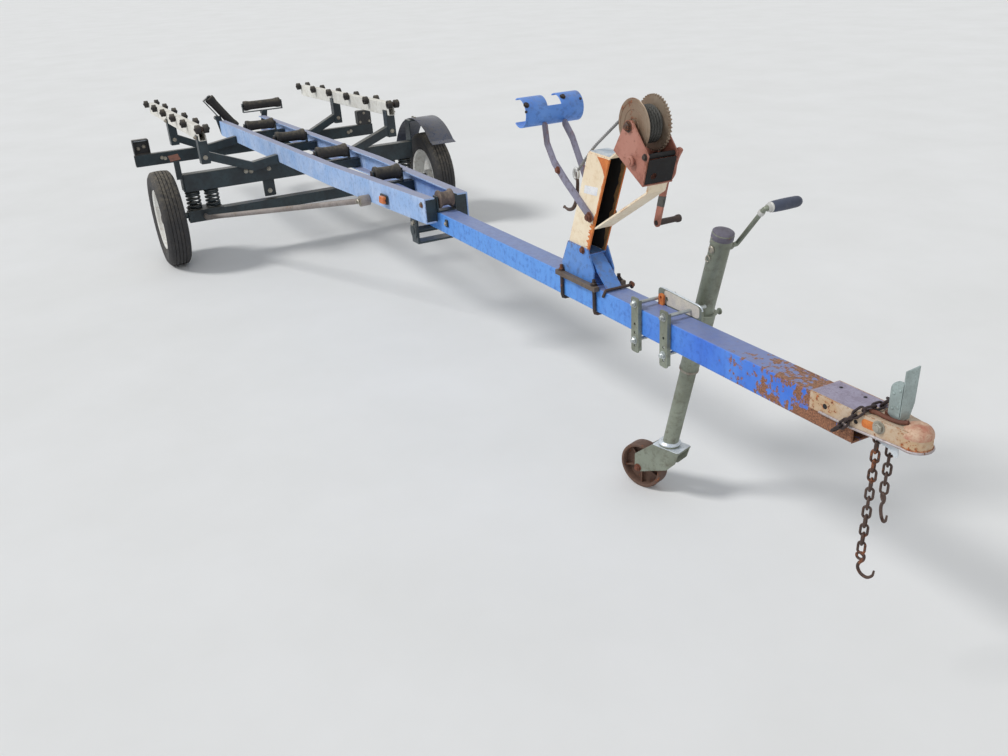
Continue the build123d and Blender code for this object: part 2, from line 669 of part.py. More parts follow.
for side_name, side in SIDES.items():
    tip = side * rear_tip[side_name]
    pivot = along(bed, rear_roller_x, side * rear_roller_y, pivot_rise)
    swung = along(pivot, turn=(tip, 0, 0))
    inside = rear_roller_length / 2 + roller_side_gap
    with BuildPart() as yoke:
        block(along(swung, z=yoke_drop - yoke_wall), yoke_width, 2 * (inside + yoke_wall), yoke_wall)
        for flank in SIDES.values():
            ear = along(swung, y=flank * (inside + yoke_wall / 2), z=yoke_drop)
            block(ear, ear_width, yoke_wall, yoke_floor + ear_width / 2)
        block(along(swung, z=-pivot_radius), yoke_width, 2 * pivot_radius, yoke_drop + pivot_radius - 1)
        hub = Plane(origin=along(swung, x=-yoke_width / 2).origin, x_dir=swung.y_dir, z_dir=bed.x_dir)
        rod(hub, pivot_radius + yoke_wall, yoke_width)
        rod(hub, pivot_radius + gap, yoke_width, mode=Mode.SUBTRACT)
        centre = along(swung, z=yoke_drop + yoke_floor)
        axis = Plane(origin=centre.origin, x_dir=bed.x_dir, z_dir=swung.y_dir)
        pin_reach = inside + yoke_wall + 3
        rod(along(axis, z=-pin_reach), rear_roller_pin, 2 * pin_reach)
    save(yoke, f"{side_name}_rear_yoke")
    with BuildPart() as roller:
        bore = rear_roller_pin + gap
        turned(axis, roller_outline(rear_roller_length, rear_roller_radius, rear_roller_waist, bore))
    save(roller, f"{side_name}_rear_roller")
    print(f"{side_name} yoke pivot", [round(v / 1000, 5) for v in pivot.origin])
    print(f"{side_name} rear roller", [round(v / 1000, 5) for v in centre.origin], axis.z_dir)

# Tail lights on the bar's ends and amber side markers
lamp_y = light_bar_half - lamp_width / 2 - 4.0
with BuildPart() as tail_lights:
    for side in SIDES.values():
        lamp = along(bed, light_bar_x, side * lamp_y, 0)
        block(lamp, lamp_depth, lamp_width, lamp_height)
save(tail_lights, "tail_lights")
with BuildPart() as tail_lenses:
    for side in SIDES.values():
        behind = light_bar_x - lamp_depth / 2 - lens_depth / 2
        block(
            along(bed, behind, side * lamp_y, lens_margin), lens_depth,
            lamp_width - 2 * lens_margin, lamp_height - 2 * lens_margin,
        )
save(tail_lenses, "tail_lenses")

with BuildPart() as side_markers:
    for side in SIDES.values():
        face_y = rail_outer_y(marker_x - marker_length / 2)
        spot = along(bed, marker_x, side * (face_y + marker_depth / 2), marker_rise)
        block(spot, marker_length, marker_depth, marker_height)
save(side_markers, "side_markers")

# Strap under the tongue at the rails' front ends, with its cross pin
with BuildPart() as tongue_strap:
    strap_half = rail_outer_y(strap_x + strap_width / 2)
    tongue_under = tongue_height(strap_x) - tube_side / cos(tongue_slope)
    rail_under = along(bed, x=strap_x).origin.Z
    lowest = min(tongue_under, rail_under)
    strap_drop = rail_under - lowest + strap_room
    for side in SIDES.values():
        wall = along(bed, x=strap_x, y=side * (strap_half - strap_wall / 2))
        block(wall, strap_width, strap_wall, -strap_drop)
    block(along(bed, x=strap_x, z=-strap_drop), strap_width, 2 * strap_half, -strap_wall)
    pin = side_plane(strap_x, -strap_half - 8, lowest - strap_pin_radius - 1.0)
    rod(pin, strap_pin_radius, 2 * strap_half + 16)
    rod(along(pin, z=8 - washer_thickness), washer_radius, washer_thickness)
    rod(along(pin, z=2 * strap_half + 8), washer_radius, washer_thickness)
save(tongue_strap, "tongue_strap")

# Winch post: a channel open to the front, its ends cut level
post_slant = sin(radians(post_lean)) / cos(radians(post_lean))
half_length = post_length_x / 2


def post_front_x(z):
    """The post's front edge at a height, counted from the axle."""
    return post_x + half_length + (z - post_bottom) * post_slant


with BuildPart() as winch_post:
    low, high = post_bottom, post_top
    face = side_plane(0, -post_width / 2, 0)
    outline = [
        (post_front_x(low) - post_length_x, -low), (post_front_x(low), -low),
        (post_front_x(high), -high), (post_front_x(high) - post_length_x, -high),
    ]
    plate(face, outline, post_width)
    over = 10.0
    face = side_plane(0, -post_width / 2 + post_wall, 0)
    rear = post_length_x - post_wall
    low_x, high_x = post_front_x(low - over), post_front_x(high + over)
    hollow = [
        (low_x - rear, over - low), (low_x + over, over - low),
        (high_x + over, -high - over), (high_x - rear, -high - over),
    ]
    plate(face, hollow, post_width - 2 * post_wall, mode=Mode.SUBTRACT)
save(winch_post, "winch_post")

# Seat of the post: side plates and a base on the tongue, with a sloping front stay
with BuildPart() as post_seat:
    for side in SIDES.values():
        low_y = side * (post_width / 2 + seat_wall / 2) - seat_wall / 2
        corners = [
            (seat_rear_x, -tongue_height(seat_rear_x) - gap),
            (seat_front_x, -tongue_height(seat_front_x) - gap),
            (seat_front_x, -tongue_height(seat_front_x) - 45.0),
            (post_front_x(seat_top), -seat_top),
            (post_front_x(seat_top) - post_length_x, -seat_top),
            (seat_rear_x, -tongue_height(seat_rear_x) - 35.0),
        ]
        plate(side_plane(0, low_y, 0), corners, seat_wall)
    base_length = seat_front_x - seat_rear_x - 4
    base = along(tongue_line, x=(seat_front_x + seat_rear_x) / 2 - tongue_top_x, z=gap)
    block(base, base_length, post_width + 1, seat_wall)
    block(Plane((axle_x + post_x, 0, post_bottom - seat_wall)), post_length_x, post_width + 1, seat_wall)
    stay_toe_x = stay_foot_x + 8
    stay = [
        (post_front_x(post_bottom) - 14, -post_bottom + seat_wall),
        (stay_foot_x, -tongue_height(stay_foot_x) - gap),
        (stay_toe_x, -tongue_height(stay_toe_x) - gap),
        (post_front_x(post_bottom) - 6, -post_bottom + 2),
    ]
    plate(side_plane(0, -stay_width / 2, 0), stay, stay_width)
save(post_seat, "post_seat")

# U bolts and bars that clamp the seat on the tongue
with BuildPart() as post_clamp:
    leg_y = tube_side / 2 + u_bolt_radius + 1.0
    for x in clamp_bolts_x:
        station = x - tongue_top_x
        for side in SIDES.values():
            foot = along(tongue_line, station, side * leg_y, -tube_side - clamp_wall - 10)
            rod(foot, u_bolt_radius, tube_side + 28.0)
        under = along(tongue_line, station, 0, -tube_side - clamp_wall - gap)
        block(under, 26.0, 2 * (leg_y + 10), clamp_wall)
    for side in SIDES.values():
        bar_x = sum(clamp_bolts_x) / len(clamp_bolts_x)
        bar = along(tongue_line, bar_x - tongue_top_x, side * (tube_side / 2 + 9.0), -4.0)
        block(bar, clamp_bar_length, 17.0, 9.0)
save(post_clamp, "post_clamp")

# Winch frame: two diamond plates joined by a sloping web
web_run = (winch_low[0] - winch_back[0], winch_low[1] - winch_back[1])
web_slope = atan2(-web_run[1], web_run[0])
with BuildPart() as winch_frame:
    diamond = [winch_back, winch_low, winch_front, winch_head_front, winch_head_rear]
    across_all = winch_near + winch_far
    for low_y in (-winch_near, winch_far - winch_plate):
        plate(side_plane(0, low_y, 0), [(x, -z) for x, z in diamond], winch_plate)
    lift = (winch_plate * sin(web_slope), winch_plate * cos(web_slope))
    web = [
        winch_back, winch_low, (winch_low[0] + lift[0], winch_low[1] + lift[1]),
        (winch_back[0] + lift[0], winch_back[1] + lift[1]),
    ]
    plate(side_plane(0, -winch_near, 0), [(x, -z) for x, z in web], across_all)
    rod(side_plane(drum_x, -winch_near - 7, drum_z), shaft_radius, across_all + 14)
    rod(side_plane(tie_x, -winch_near, tie_z), tie_radius, across_all)
    bores = side_plane(crank_x, -winch_near - 1, crank_z)
    rod(bores, shaft_radius + gap, across_all + 2, mode=Mode.SUBTRACT)
save(winch_frame, "winch_frame")

# Drum with its gear, and the rope wound on it
shaft_span = hypot(drum_x - crank_x, drum_z - crank_z)
gear_radius = shaft_span * gear_teeth / (gear_teeth + pinion_teeth) - mesh_gap / 2
pinion_radius = shaft_span * pinion_teeth / (gear_teeth + pinion_teeth) - mesh_gap / 2
drum = side_plane(drum_x, 0, drum_z)
gear_low = drum_half - 10.0
with BuildPart() as winch_drum:
    bore = shaft_radius + gap
    turned(drum, [
        (bore, -drum_half - drum_flange), (drum_flange_radius, -drum_half - drum_flange),
        (drum_flange_radius, -drum_half), (drum_core_radius, -drum_half),
        (drum_core_radius, gear_low), (gear_radius, gear_low),
        (gear_radius, gear_low + gear_thickness), (bore, gear_low + gear_thickness),
    ])
save(winch_drum, "winch_drum")
with BuildPart() as wound_rope:
    turned(drum, [
        (drum_core_radius + gap, -drum_half + gap), (wound_radius, -drum_half + gap),
        (wound_radius, gear_low - gap), (drum_core_radius + gap, gear_low - gap),
    ])
save(wound_rope, "wound_rope")

# Winch crank: shaft with its pinion, flat arm and grip
with BuildPart() as winch_crank:
    shaft_start = winch_near + 6.0
    rod(side_plane(crank_x, -shaft_start, crank_z), shaft_radius, shaft_start + crank_arm_y)
    rod(side_plane(crank_x, -shaft_start - 4, crank_z), shaft_radius + 4, 4.5)
    rod(side_plane(crank_x, gear_low - 1, crank_z), pinion_radius, gear_thickness + 2)
    arm = side_plane(crank_x, crank_arm_y, crank_z, lean=crank_hang)
    with BuildSketch(arm) as outline:
        with Locations((crank_reach / 2, 0)):
            SlotCenterToCenter(crank_reach, crank_arm_width)
    extrude(outline.sketch, amount=crank_arm_thickness)
    rod(along(arm, x=crank_reach), crank_grip_radius, crank_arm_thickness + crank_grip_length)
save(winch_crank, "winch_crank")

# Bent brace from the post's front edges, round under the winch and back on the post's top
with BuildPart() as winch_brace:
    half = brace_wall / 2
    away = half + gap
    low_end = (post_front_x(brace_foot_z) + away + 1.0, brace_foot_z)
    under_web = (lift[0] / winch_plate * away, lift[1] / winch_plate * away)
    bend_rise = brace_bend * sin(web_slope) / cos(web_slope)
    front_bend = (winch_low[0] - under_web[0] - brace_bend, winch_low[1] - under_web[1] + bend_rise)
    low_bend = (front_bend[0] - brace_drop[0], front_bend[1] - brace_drop[1])
    back_bend = (winch_back[0] - under_web[0], winch_back[1] - under_web[1])
    post_edge = (post_front_x(post_top) - 3.0, post_top + away)
    post_rear = (post_front_x(post_top) - post_length_x + 6.0, post_top + away)
    strip(
        side_plane(0, -brace_width / 2, 0),
        [low_end, low_bend, front_bend, back_bend, post_edge, post_rear], brace_wall, brace_width,
    )
save(winch_brace, "winch_brace")

# Bow stop: two half pipes joined by a waist, on two bent arms
with BuildPart() as bow_saddle:
    for low_y, length, start, turn in (
        (-saddle_half, saddle_cup, saddle_back_angle, saddle_sweep),
        (saddle_half - saddle_cup, saddle_cup, saddle_back_angle, saddle_sweep),
        (-saddle_half, 2 * saddle_half, waist_start_angle, waist_sweep),
    ):
        with BuildSketch(side_plane(saddle_x, low_y, saddle_z)) as shell:
            with BuildLine():
                outer = CenterArc((0, 0), saddle_radius, start, turn)
                inner = CenterArc((0, 0), saddle_radius - saddle_wall, start, turn)
                Line(outer @ 0, inner @ 0)
                Line(outer @ 1, inner @ 1)
            make_face()
        extrude(shell.sketch, amount=length)
save(bow_saddle, "bow_saddle")
with BuildPart() as bow_arms:
    for side_name, side in SIDES.items():
        low_y = side * (post_width / 2 + arm_bar_thickness / 2 + gap) - arm_bar_thickness / 2
        face = side_plane(0, low_y, 0)
        reach = saddle_radius + gap + arm_bar_width / 2
        top = (saddle_x + reach * cos(radians(arm_seat_angle)),
               saddle_z - reach * sin(radians(arm_seat_angle)))
        strip(face, [top, *bow_arm_paths[side_name]], arm_bar_width, arm_bar_thickness)
save(bow_arms, "bow_arms")

# Rope from the drum over the post to its hook
rope_bend, rope_eye = rope_route[1:]
fall = hypot(rope_eye[0] - rope_bend[0], rope_eye[1] - rope_bend[1])
fall_x, fall_z = (rope_eye[0] - rope_bend[0]) / fall, (rope_eye[1] - rope_bend[1]) / fall
hook_start = (rope_eye[0] + gap * fall_x, rope_eye[1] + gap * fall_z)
hook_neck = (rope_eye[0] + hook_shank * fall_x, rope_eye[1] + hook_shank * fall_z)
with BuildPart() as winch_rope:
    with BuildLine() as route:
        FilletPolyline(*[(axle_x + x, rope_y, z) for x, z in rope_route], radius=rope_edge_radius)
    with BuildSketch(Plane(origin=route.line @ 0, z_dir=route.line % 0)):
        Circle(rope_radius)
    sweep()
save(winch_rope, "winch_rope")
rope_length = sum(edge.length for edge in route.line.edges())
print("rope length", round(rope_length, 1), "bend radius", rope_edge_radius)
with BuildPart() as rope_hook:
    bent_rod([(axle_x + x, rope_y, z) for x, z in [hook_start, hook_neck, *hook_path]], hook_radius)
save(rope_hook, "rope_hook")

# Jack: tube, leg, crank and clamp
jack_slope = radians(jack_lean)
jack = Plane(
    origin=(axle_x + jack_foot_x, jack_y, jack_foot_z),
    x_dir=(cos(jack_slope), 0, -sin(jack_slope)),
    z_dir=(sin(jack_slope), 0, cos(jack_slope)),
)
pivot_z = tongue_height(jack_clamp_x) - tube_side / 2
pivot_along = (pivot_z - jack_foot_z) / cos(jack_slope)
jack_tube_low, jack_tube_high = pivot_along - jack_below, pivot_along + jack_above
with BuildPart() as jack_tube:
    length = jack_tube_high - jack_tube_low
    rod(along(jack, z=jack_tube_low), jack_tube_radius, length)
    rod(along(jack, z=jack_tube_low), jack_leg_radius + gap, length, mode=Mode.SUBTRACT)
    rod(along(jack, z=jack_tube_high - 4), jack_tube_radius + jack_cap_proud, jack_cap)
    boss_start = along(jack, y=jack_leg_radius + 2 * gap, z=jack_tube_high - jack_boss_drop)
    boss = Plane(origin=boss_start.origin, z_dir=(0, 1, 0))
    rod(boss, jack_boss_radius, jack_boss_length)
save(jack_tube, "jack_tube")
with BuildPart() as jack_leg:
    below = 2 * jack_leg_radius
    rod(along(jack, z=-below), jack_leg_radius, jack_tube_high - jack_travel - jack_leg_end + below)
    foot = Plane(jack.origin)
    block(foot, 4 * below, 4 * below, -2 * below, mode=Mode.SUBTRACT)
    rod(foot, race_radius, race_height)
save(jack_leg, "jack_leg")
with BuildPart() as jack_crank:
    shaft = along(boss, z=jack_boss_length + gap).origin
    elbow = (shaft.X, shaft.Y + jack_crank_out, shaft.Z)
    far = (shaft.X + jack_crank_run, elbow[1], shaft.Z + jack_crank_rise)
    bent_rod([tuple(shaft), elbow, far], jack_crank_radius)
    rod(Plane(origin=far, z_dir=(0, 1, 0)), jack_grip_radius, jack_grip_length)
save(jack_crank, "jack_crank")
with BuildPart() as jack_clamp:
    clamp_station = jack_clamp_x - tongue_top_x
    far_y = tube_side / 2 + clamp_wall / 2 + gap
    far = along(tongue_line, clamp_station, far_y, -tube_side - clamp_below)
    block(far, clamp_length, clamp_wall, tube_side + clamp_below + clamp_above)
    for x in (-clamp_bolt_reach, clamp_bolt_reach):
        near = along(tongue_line, clamp_station + x, -far_y, -tube_side - clamp_near_below)
        block(near, clamp_strap_width, clamp_wall, tube_side + clamp_near_below + clamp_above)
        for z in (clamp_bolt_rise, -tube_side - clamp_bolt_rise):
            start = along(tongue_line, clamp_station + x, -far_y - 12.0, z).origin
            rod(Plane(origin=start, z_dir=(0, 1, 0)), clamp_bolt_radius, 2 * far_y + 24.0)
    hub_x = jack_foot_x + pivot_along * sin(jack_slope)
    reach = jack_y - far_y
    rod(side_plane(hub_x, far_y, pivot_z), jack_hub_radius, reach)
    collar = along(jack, z=pivot_along - collar_length / 2)
    rod(collar, jack_tube_radius + collar_wall, collar_length)
    bore = along(collar, z=-through)
    rod(bore, jack_tube_radius + gap, collar_length + 2 * through, mode=Mode.SUBTRACT)
save(jack_clamp, "jack_clamp")

# Caster: a fork with a level head under the leg's foot, turned a little, and its wheel
turn = radians(caster_turn)
caster = Plane(origin=jack.origin, x_dir=(cos(turn), sin(turn), 0), z_dir=(0, 0, 1))
axle_drop = jack_foot_z - caster_radius
with BuildPart() as caster_fork:
    inside = caster_width / 2 + fork_clearance
    head = along(caster, x=(fork_front + fork_rear) / 2, z=-gap - fork_wall)
    block(head, fork_front - fork_rear, 2 * (inside + fork_wall), fork_wall)
    toe = -caster_trail
    cheek = [
        (fork_front, gap), (fork_rear, gap), (toe - 13, 0.55 * axle_drop), (toe - 13, axle_drop + 4),
        (toe - 3, axle_drop + 14), (toe + 15, axle_drop + 9), (14.0, 0.7 * axle_drop),
        (fork_front - 12, 0.4 * axle_drop),
    ]
    for side in SIDES.values():
        low_y = side * (inside + fork_wall / 2) - fork_wall / 2
        start = along(caster, y=low_y).origin
        plate(Plane(origin=start, x_dir=caster.x_dir, z_dir=caster.y_dir), cheek, fork_wall)
    axle_reach = inside + fork_wall + 4
    start = along(caster, x=toe, y=-axle_reach, z=-axle_drop).origin
    rod(Plane(origin=start, z_dir=caster.y_dir), caster_pin, 2 * axle_reach)
save(caster_fork, "caster_fork")
with BuildPart() as caster_wheel:
    half, rim_low = caster_width / 2, caster_radius - caster_rim
    bore = caster_pin + gap
    centre = along(caster, x=toe, z=-axle_drop).origin
    turned(Plane(origin=centre, x_dir=caster.x_dir, z_dir=caster.y_dir), [
        (bore, -half), (caster_hub, -half), (caster_hub, -caster_web), (rim_low, -caster_web),
        (rim_low, -half), (caster_radius, -half), (caster_radius, half), (rim_low, half),
        (rim_low, caster_web), (caster_hub, caster_web), (caster_hub, half), (bore, half),
    ])
save(caster_wheel, "caster_wheel")
print("jack foot", [round(v / 1000, 5) for v in jack.origin], jack.z_dir)
print("caster axle", [round(v / 1000, 5) for v in centre], caster.y_dir)

# Coupler on the tongue's front end, with its ball socket and latch
with BuildPart() as coupler:
    half = tube_side / 2
    start = tongue_front - coupler_lap
    under = along(tongue_line, z=-coupler_depth)
    full = coupler_depth + gap + coupler_wall
    for inset, rear, front, mode in (
        (0.0, start, ball_station, Mode.ADD),
        (coupler_wall, start - 1, ball_station - coupler_head_radius, Mode.SUBTRACT),
    ):
        stations = [
            # place along the tongue, half width
            (rear, half + gap + coupler_wall - inset),
            (tongue_front + gap, half + gap + coupler_wall - inset),
            (front, coupler_nose_half - inset),
        ]
        for station, half_width in stations:
            face = Plane(origin=along(under, station).origin, x_dir=(0, 1, 0), z_dir=tongue_line.x_dir)
            with BuildSketch(face):
                Rectangle(2 * half_width, full - inset, align=(Align.CENTER, Align.MIN))
        loft(ruled=True, mode=mode)
    head = along(under, ball_station)
    profile = Plane(origin=head.origin, x_dir=tongue_line.x_dir, z_dir=(0, -1, 0))
    lip_radius = coupler_head_radius + coupler_lip
    crown_top = full + coupler_rise
    shoulder = crown_top - coupler_crown
    with BuildSketch(profile) as nose:
        with BuildLine():
            Polyline((0, crown_top), (0, 0), (lip_radius, 0), (lip_radius, coupler_lip_height),
                     (coupler_head_radius, coupler_lip_height), (coupler_head_radius, shoulder))
            CenterArc((coupler_head_radius - coupler_crown, shoulder), coupler_crown, 0, 90)
            Line((coupler_head_radius - coupler_crown, crown_top), (0, crown_top))
        make_face()
    revolve(nose.sketch, axis=Axis(head.origin, head.z_dir))
    socket_height = coupler_depth + coupler_rise - ball_radius
    with BuildSketch(profile) as socket:
        with BuildLine():
            Polyline((0, -1), (ball_radius, -1), (ball_radius, socket_height))
            CenterArc((0, socket_height), ball_radius, 0, 90)
            Line((0, socket_height + ball_radius), (0, -1))
        make_face()
    revolve(socket.sketch, axis=Axis(head.origin, head.z_dir), mode=Mode.SUBTRACT)
    pin = across(tongue_line, chain_pin_station, -half - gap, -chain_pin_drop)
    rod(pin, chain_pin_radius, 2 * (half + gap))
save(coupler, "coupler")
with BuildPart() as coupler_latch:
    latch_front = ball_station - coupler_head_radius - gap
    latch = along(tongue_line, latch_front - latch_foot_length / 2, 0, coupler_wall + 2 * gap)
    block(latch, latch_foot_length, latch_foot / 2, latch_foot)
    upright = along(latch, x=(latch_foot_length - latch_plate_length) / 2, z=latch_foot - 1.0)
    block(upright, latch_plate_length, latch_width, latch_height)
save(coupler_latch, "coupler_latch")


def link(plane):
    """One chain link lying in a plane, its length along the plane's x."""
    with BuildSketch(plane) as ring:
        SlotOverall(link_length, link_width)
        SlotOverall(link_length - 2 * link_wire, link_width - 2 * link_wire, mode=Mode.SUBTRACT)
    extrude(ring.sketch, amount=link_wire / 2, both=True)


# Safety chains hanging from an eye bolt under the coupler
link_step = link_length - 2 * link_wire - link_slack
with BuildPart() as safety_chains:
    hung = link_length / 2 - link_wire - chain_pin_radius - gap
    for y, links in zip(chain_places, chain_link_counts):
        top = along(tongue_line, chain_pin_station, y, -chain_pin_drop).origin
        for number in range(links):
            centre = top - Vector(0, 0, hung + link_step * number)
            normal = (1, 0, 0) if number % 2 else (0, 1, 0)
            link(Plane(origin=centre, x_dir=(0, 0, 1), z_dir=normal))
save(safety_chains, "safety_chains")
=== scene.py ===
"""Looks of the boat trailer: camera, light, finishes and the small pieces. Metres, in the frame's axes."""

import json
from math import atan2, cos, hypot, pi, radians, sin, tau
from random import Random

import bmesh
import bpy
from mathutils import Matrix, Vector


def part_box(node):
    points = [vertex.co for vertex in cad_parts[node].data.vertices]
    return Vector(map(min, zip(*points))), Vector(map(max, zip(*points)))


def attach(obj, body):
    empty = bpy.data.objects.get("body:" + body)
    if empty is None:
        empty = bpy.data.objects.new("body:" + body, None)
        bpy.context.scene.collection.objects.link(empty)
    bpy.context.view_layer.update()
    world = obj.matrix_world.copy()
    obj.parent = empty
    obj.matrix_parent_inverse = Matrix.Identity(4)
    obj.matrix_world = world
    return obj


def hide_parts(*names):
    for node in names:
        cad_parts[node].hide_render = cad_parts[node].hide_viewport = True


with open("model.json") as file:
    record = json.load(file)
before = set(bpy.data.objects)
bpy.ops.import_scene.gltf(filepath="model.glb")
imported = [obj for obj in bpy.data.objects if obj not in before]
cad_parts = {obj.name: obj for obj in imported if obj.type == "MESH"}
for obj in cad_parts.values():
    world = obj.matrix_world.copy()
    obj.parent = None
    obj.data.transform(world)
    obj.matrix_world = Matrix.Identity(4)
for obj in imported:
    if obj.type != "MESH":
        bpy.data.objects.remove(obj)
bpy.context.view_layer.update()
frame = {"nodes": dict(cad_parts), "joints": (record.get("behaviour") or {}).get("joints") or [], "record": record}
record = frame["record"]
RIGHT, LEFT = -1, 1
SIDES = {"right": RIGHT, "left": LEFT}
BOTH = (RIGHT, LEFT)
BODY_OF = {node: body for body, nodes in record["behaviour"]["bodies"].items() for node in nodes}
SLOT_OF = {row["node"]: row["material_slot"] for row in record["subparts"]}
JOINTS = {joint["name"]: joint for joint in frame["joints"]}


def pivot(name):
    """Where a joint stands."""
    return Vector(JOINTS[name]["pos_m"])


# Places shared with the part's source
AXLE_X = pivot("right_wheel_spin").x
BED_PITCH, BED_HEIGHT = radians(3.12), 0.492
TONGUE_PITCH, TONGUE_X, TONGUE_TOP = radians(1.75), 2.092, 0.646
TUBE_SIDE = 0.0762
RAIL_PLAN = [(2.092, 0.094), (0.972, 0.144), (-1.48, 0.164)]


def placed(origin, x_dir, z_dir):
    """A place whose z runs along one direction and whose x lies near another."""
    z = Vector(z_dir).normalized()
    y = z.cross(Vector(x_dir)).normalized()
    matrix = Matrix((y.cross(z), y, z)).transposed().to_4x4()
    matrix.translation = Vector(origin)
    return matrix


def on(place, x=0.0, y=0.0, z=0.0):
    """The same axes at a place given in another place's own coordinates."""
    return place @ Matrix.Translation((x, y, z))


def spot(place, x=0.0, y=0.0, z=0.0):
    """A world point given in a place's coordinates."""
    return place @ Vector((x, y, z))


def across(x, y, z, side=LEFT):
    """A place that faces sideways, its x forward; x counted from the axle."""
    return placed((AXLE_X + x, y, z), (1, 0, 0), (0, side, 0))


def facing(place, side=LEFT):
    """A place at another's origin that faces sideways, its x along the other's x."""
    return placed(place.translation, place.col[0].to_3d(), (0, side, 0))


def upright(x, y, z):
    """A place level with the ground, its x forward; x counted from the axle."""
    return placed((AXLE_X + x, y, z), (1, 0, 0), (0, 0, 1))


def at_joint(name):
    """A place at a joint, its z along the joint's axis."""
    return placed(pivot(name), (1, 0, 0), JOINTS[name]["axis"])


def rail_y(x):
    """Half the frame's outer width at a station along the bed."""
    for (x0, y0), (x1, y1) in zip(RAIL_PLAN, RAIL_PLAN[1:]):
        if x >= x1:
            return y1 + (y0 - y1) * (x - x1) / (x0 - x1)
    return RAIL_PLAN[-1][1]


def tongue_z(x):
    """World height of the tongue's top over a place counted from the axle."""
    return TONGUE_TOP + (x - TONGUE_X) * sin(TONGUE_PITCH) / cos(TONGUE_PITCH)


def pitched(x, y, z, pitch):
    """A place that rises towards the front by an angle; x counted from the axle."""
    return placed((AXLE_X + x, y, z), (cos(pitch), 0, sin(pitch)), (-sin(pitch), 0, cos(pitch)))


BED = pitched(0, 0, BED_HEIGHT, BED_PITCH)
TONGUE = pitched(TONGUE_X, 0, TONGUE_TOP, TONGUE_PITCH)


# Shapes

def angles(count):
    """Equal steps round one turn."""
    return [tau * k / count for k in range(count)]


def circle(radius, sides, x=0.0, y=0.0, start=0.0):
    return [(x + radius * cos(start + a), y + radius * sin(start + a)) for a in angles(sides)]


def rectangle(x0, y0, x1, y1):
    return [(x0, y0), (x1, y0), (x1, y1), (x0, y1)]


def rounded(corners, radius, steps=4):
    """An outline with its corners rounded."""
    outline = []
    for i, corner in enumerate(corners):
        here = Vector(corner)
        before = Vector(corners[i - 1]) - here
        after = Vector(corners[(i + 1) % len(corners)]) - here
        reach = min(radius, 0.45 * before.length, 0.45 * after.length)
        start, end = here + before.normalized() * reach, here + after.normalized() * reach
        for step in range(steps + 1):
            t = step / steps
            point = start * (1 - t) ** 2 + here * 2 * t * (1 - t) + end * t ** 2
            outline.append(tuple(point))
    return outline


def oblong(length, width, radius):
    half, side = length / 2, width / 2
    return rounded(rectangle(-half, -side, half, side), radius)


def smooth(points, steps):
    """A smooth line through every point."""
    points = [Vector(p) for p in points]
    line = []
    for i in range(len(points) - 1):
        a, b = points[i], points[i + 1]
        before = points[i - 1] if i else a * 2 - b
        after = points[i + 2] if i + 2 < len(points) else b * 2 - a
        for step in range(steps):
            t = step / steps
            line.append(
                0.5 * (2 * a + (b - before) * t + (2 * before - 5 * a + 4 * b - after) * t ** 2
                       + (3 * a - before - 3 * b + after) * t ** 3)
            )
    return line + [points[-1]]


def transported(points, closed=False):
    """Directions along and beside a line of points, turned as little as possible."""
    count = len(points)
    heads = []
    for i in range(count):
        last, following = (i - 1) % count, (i + 1) % count
        if not closed:
            last, following = max(i - 1, 0), min(i + 1, count - 1)
        heads.append((points[following] - points[last]).normalized())
    side = heads[0].orthogonal().normalized()
    rows = []
    for head in heads:
        side = (side - head * side.dot(head)).normalized()
        rows.append((head, side, head.cross(side)))
    return rows


WASHER, THREAD = 0.0016, 0.0012


def stood(name, data):
    """A new object in the scene."""
    made = bpy.data.objects.new(name, data)
    bpy.context.scene.collection.objects.link(made)
    return made


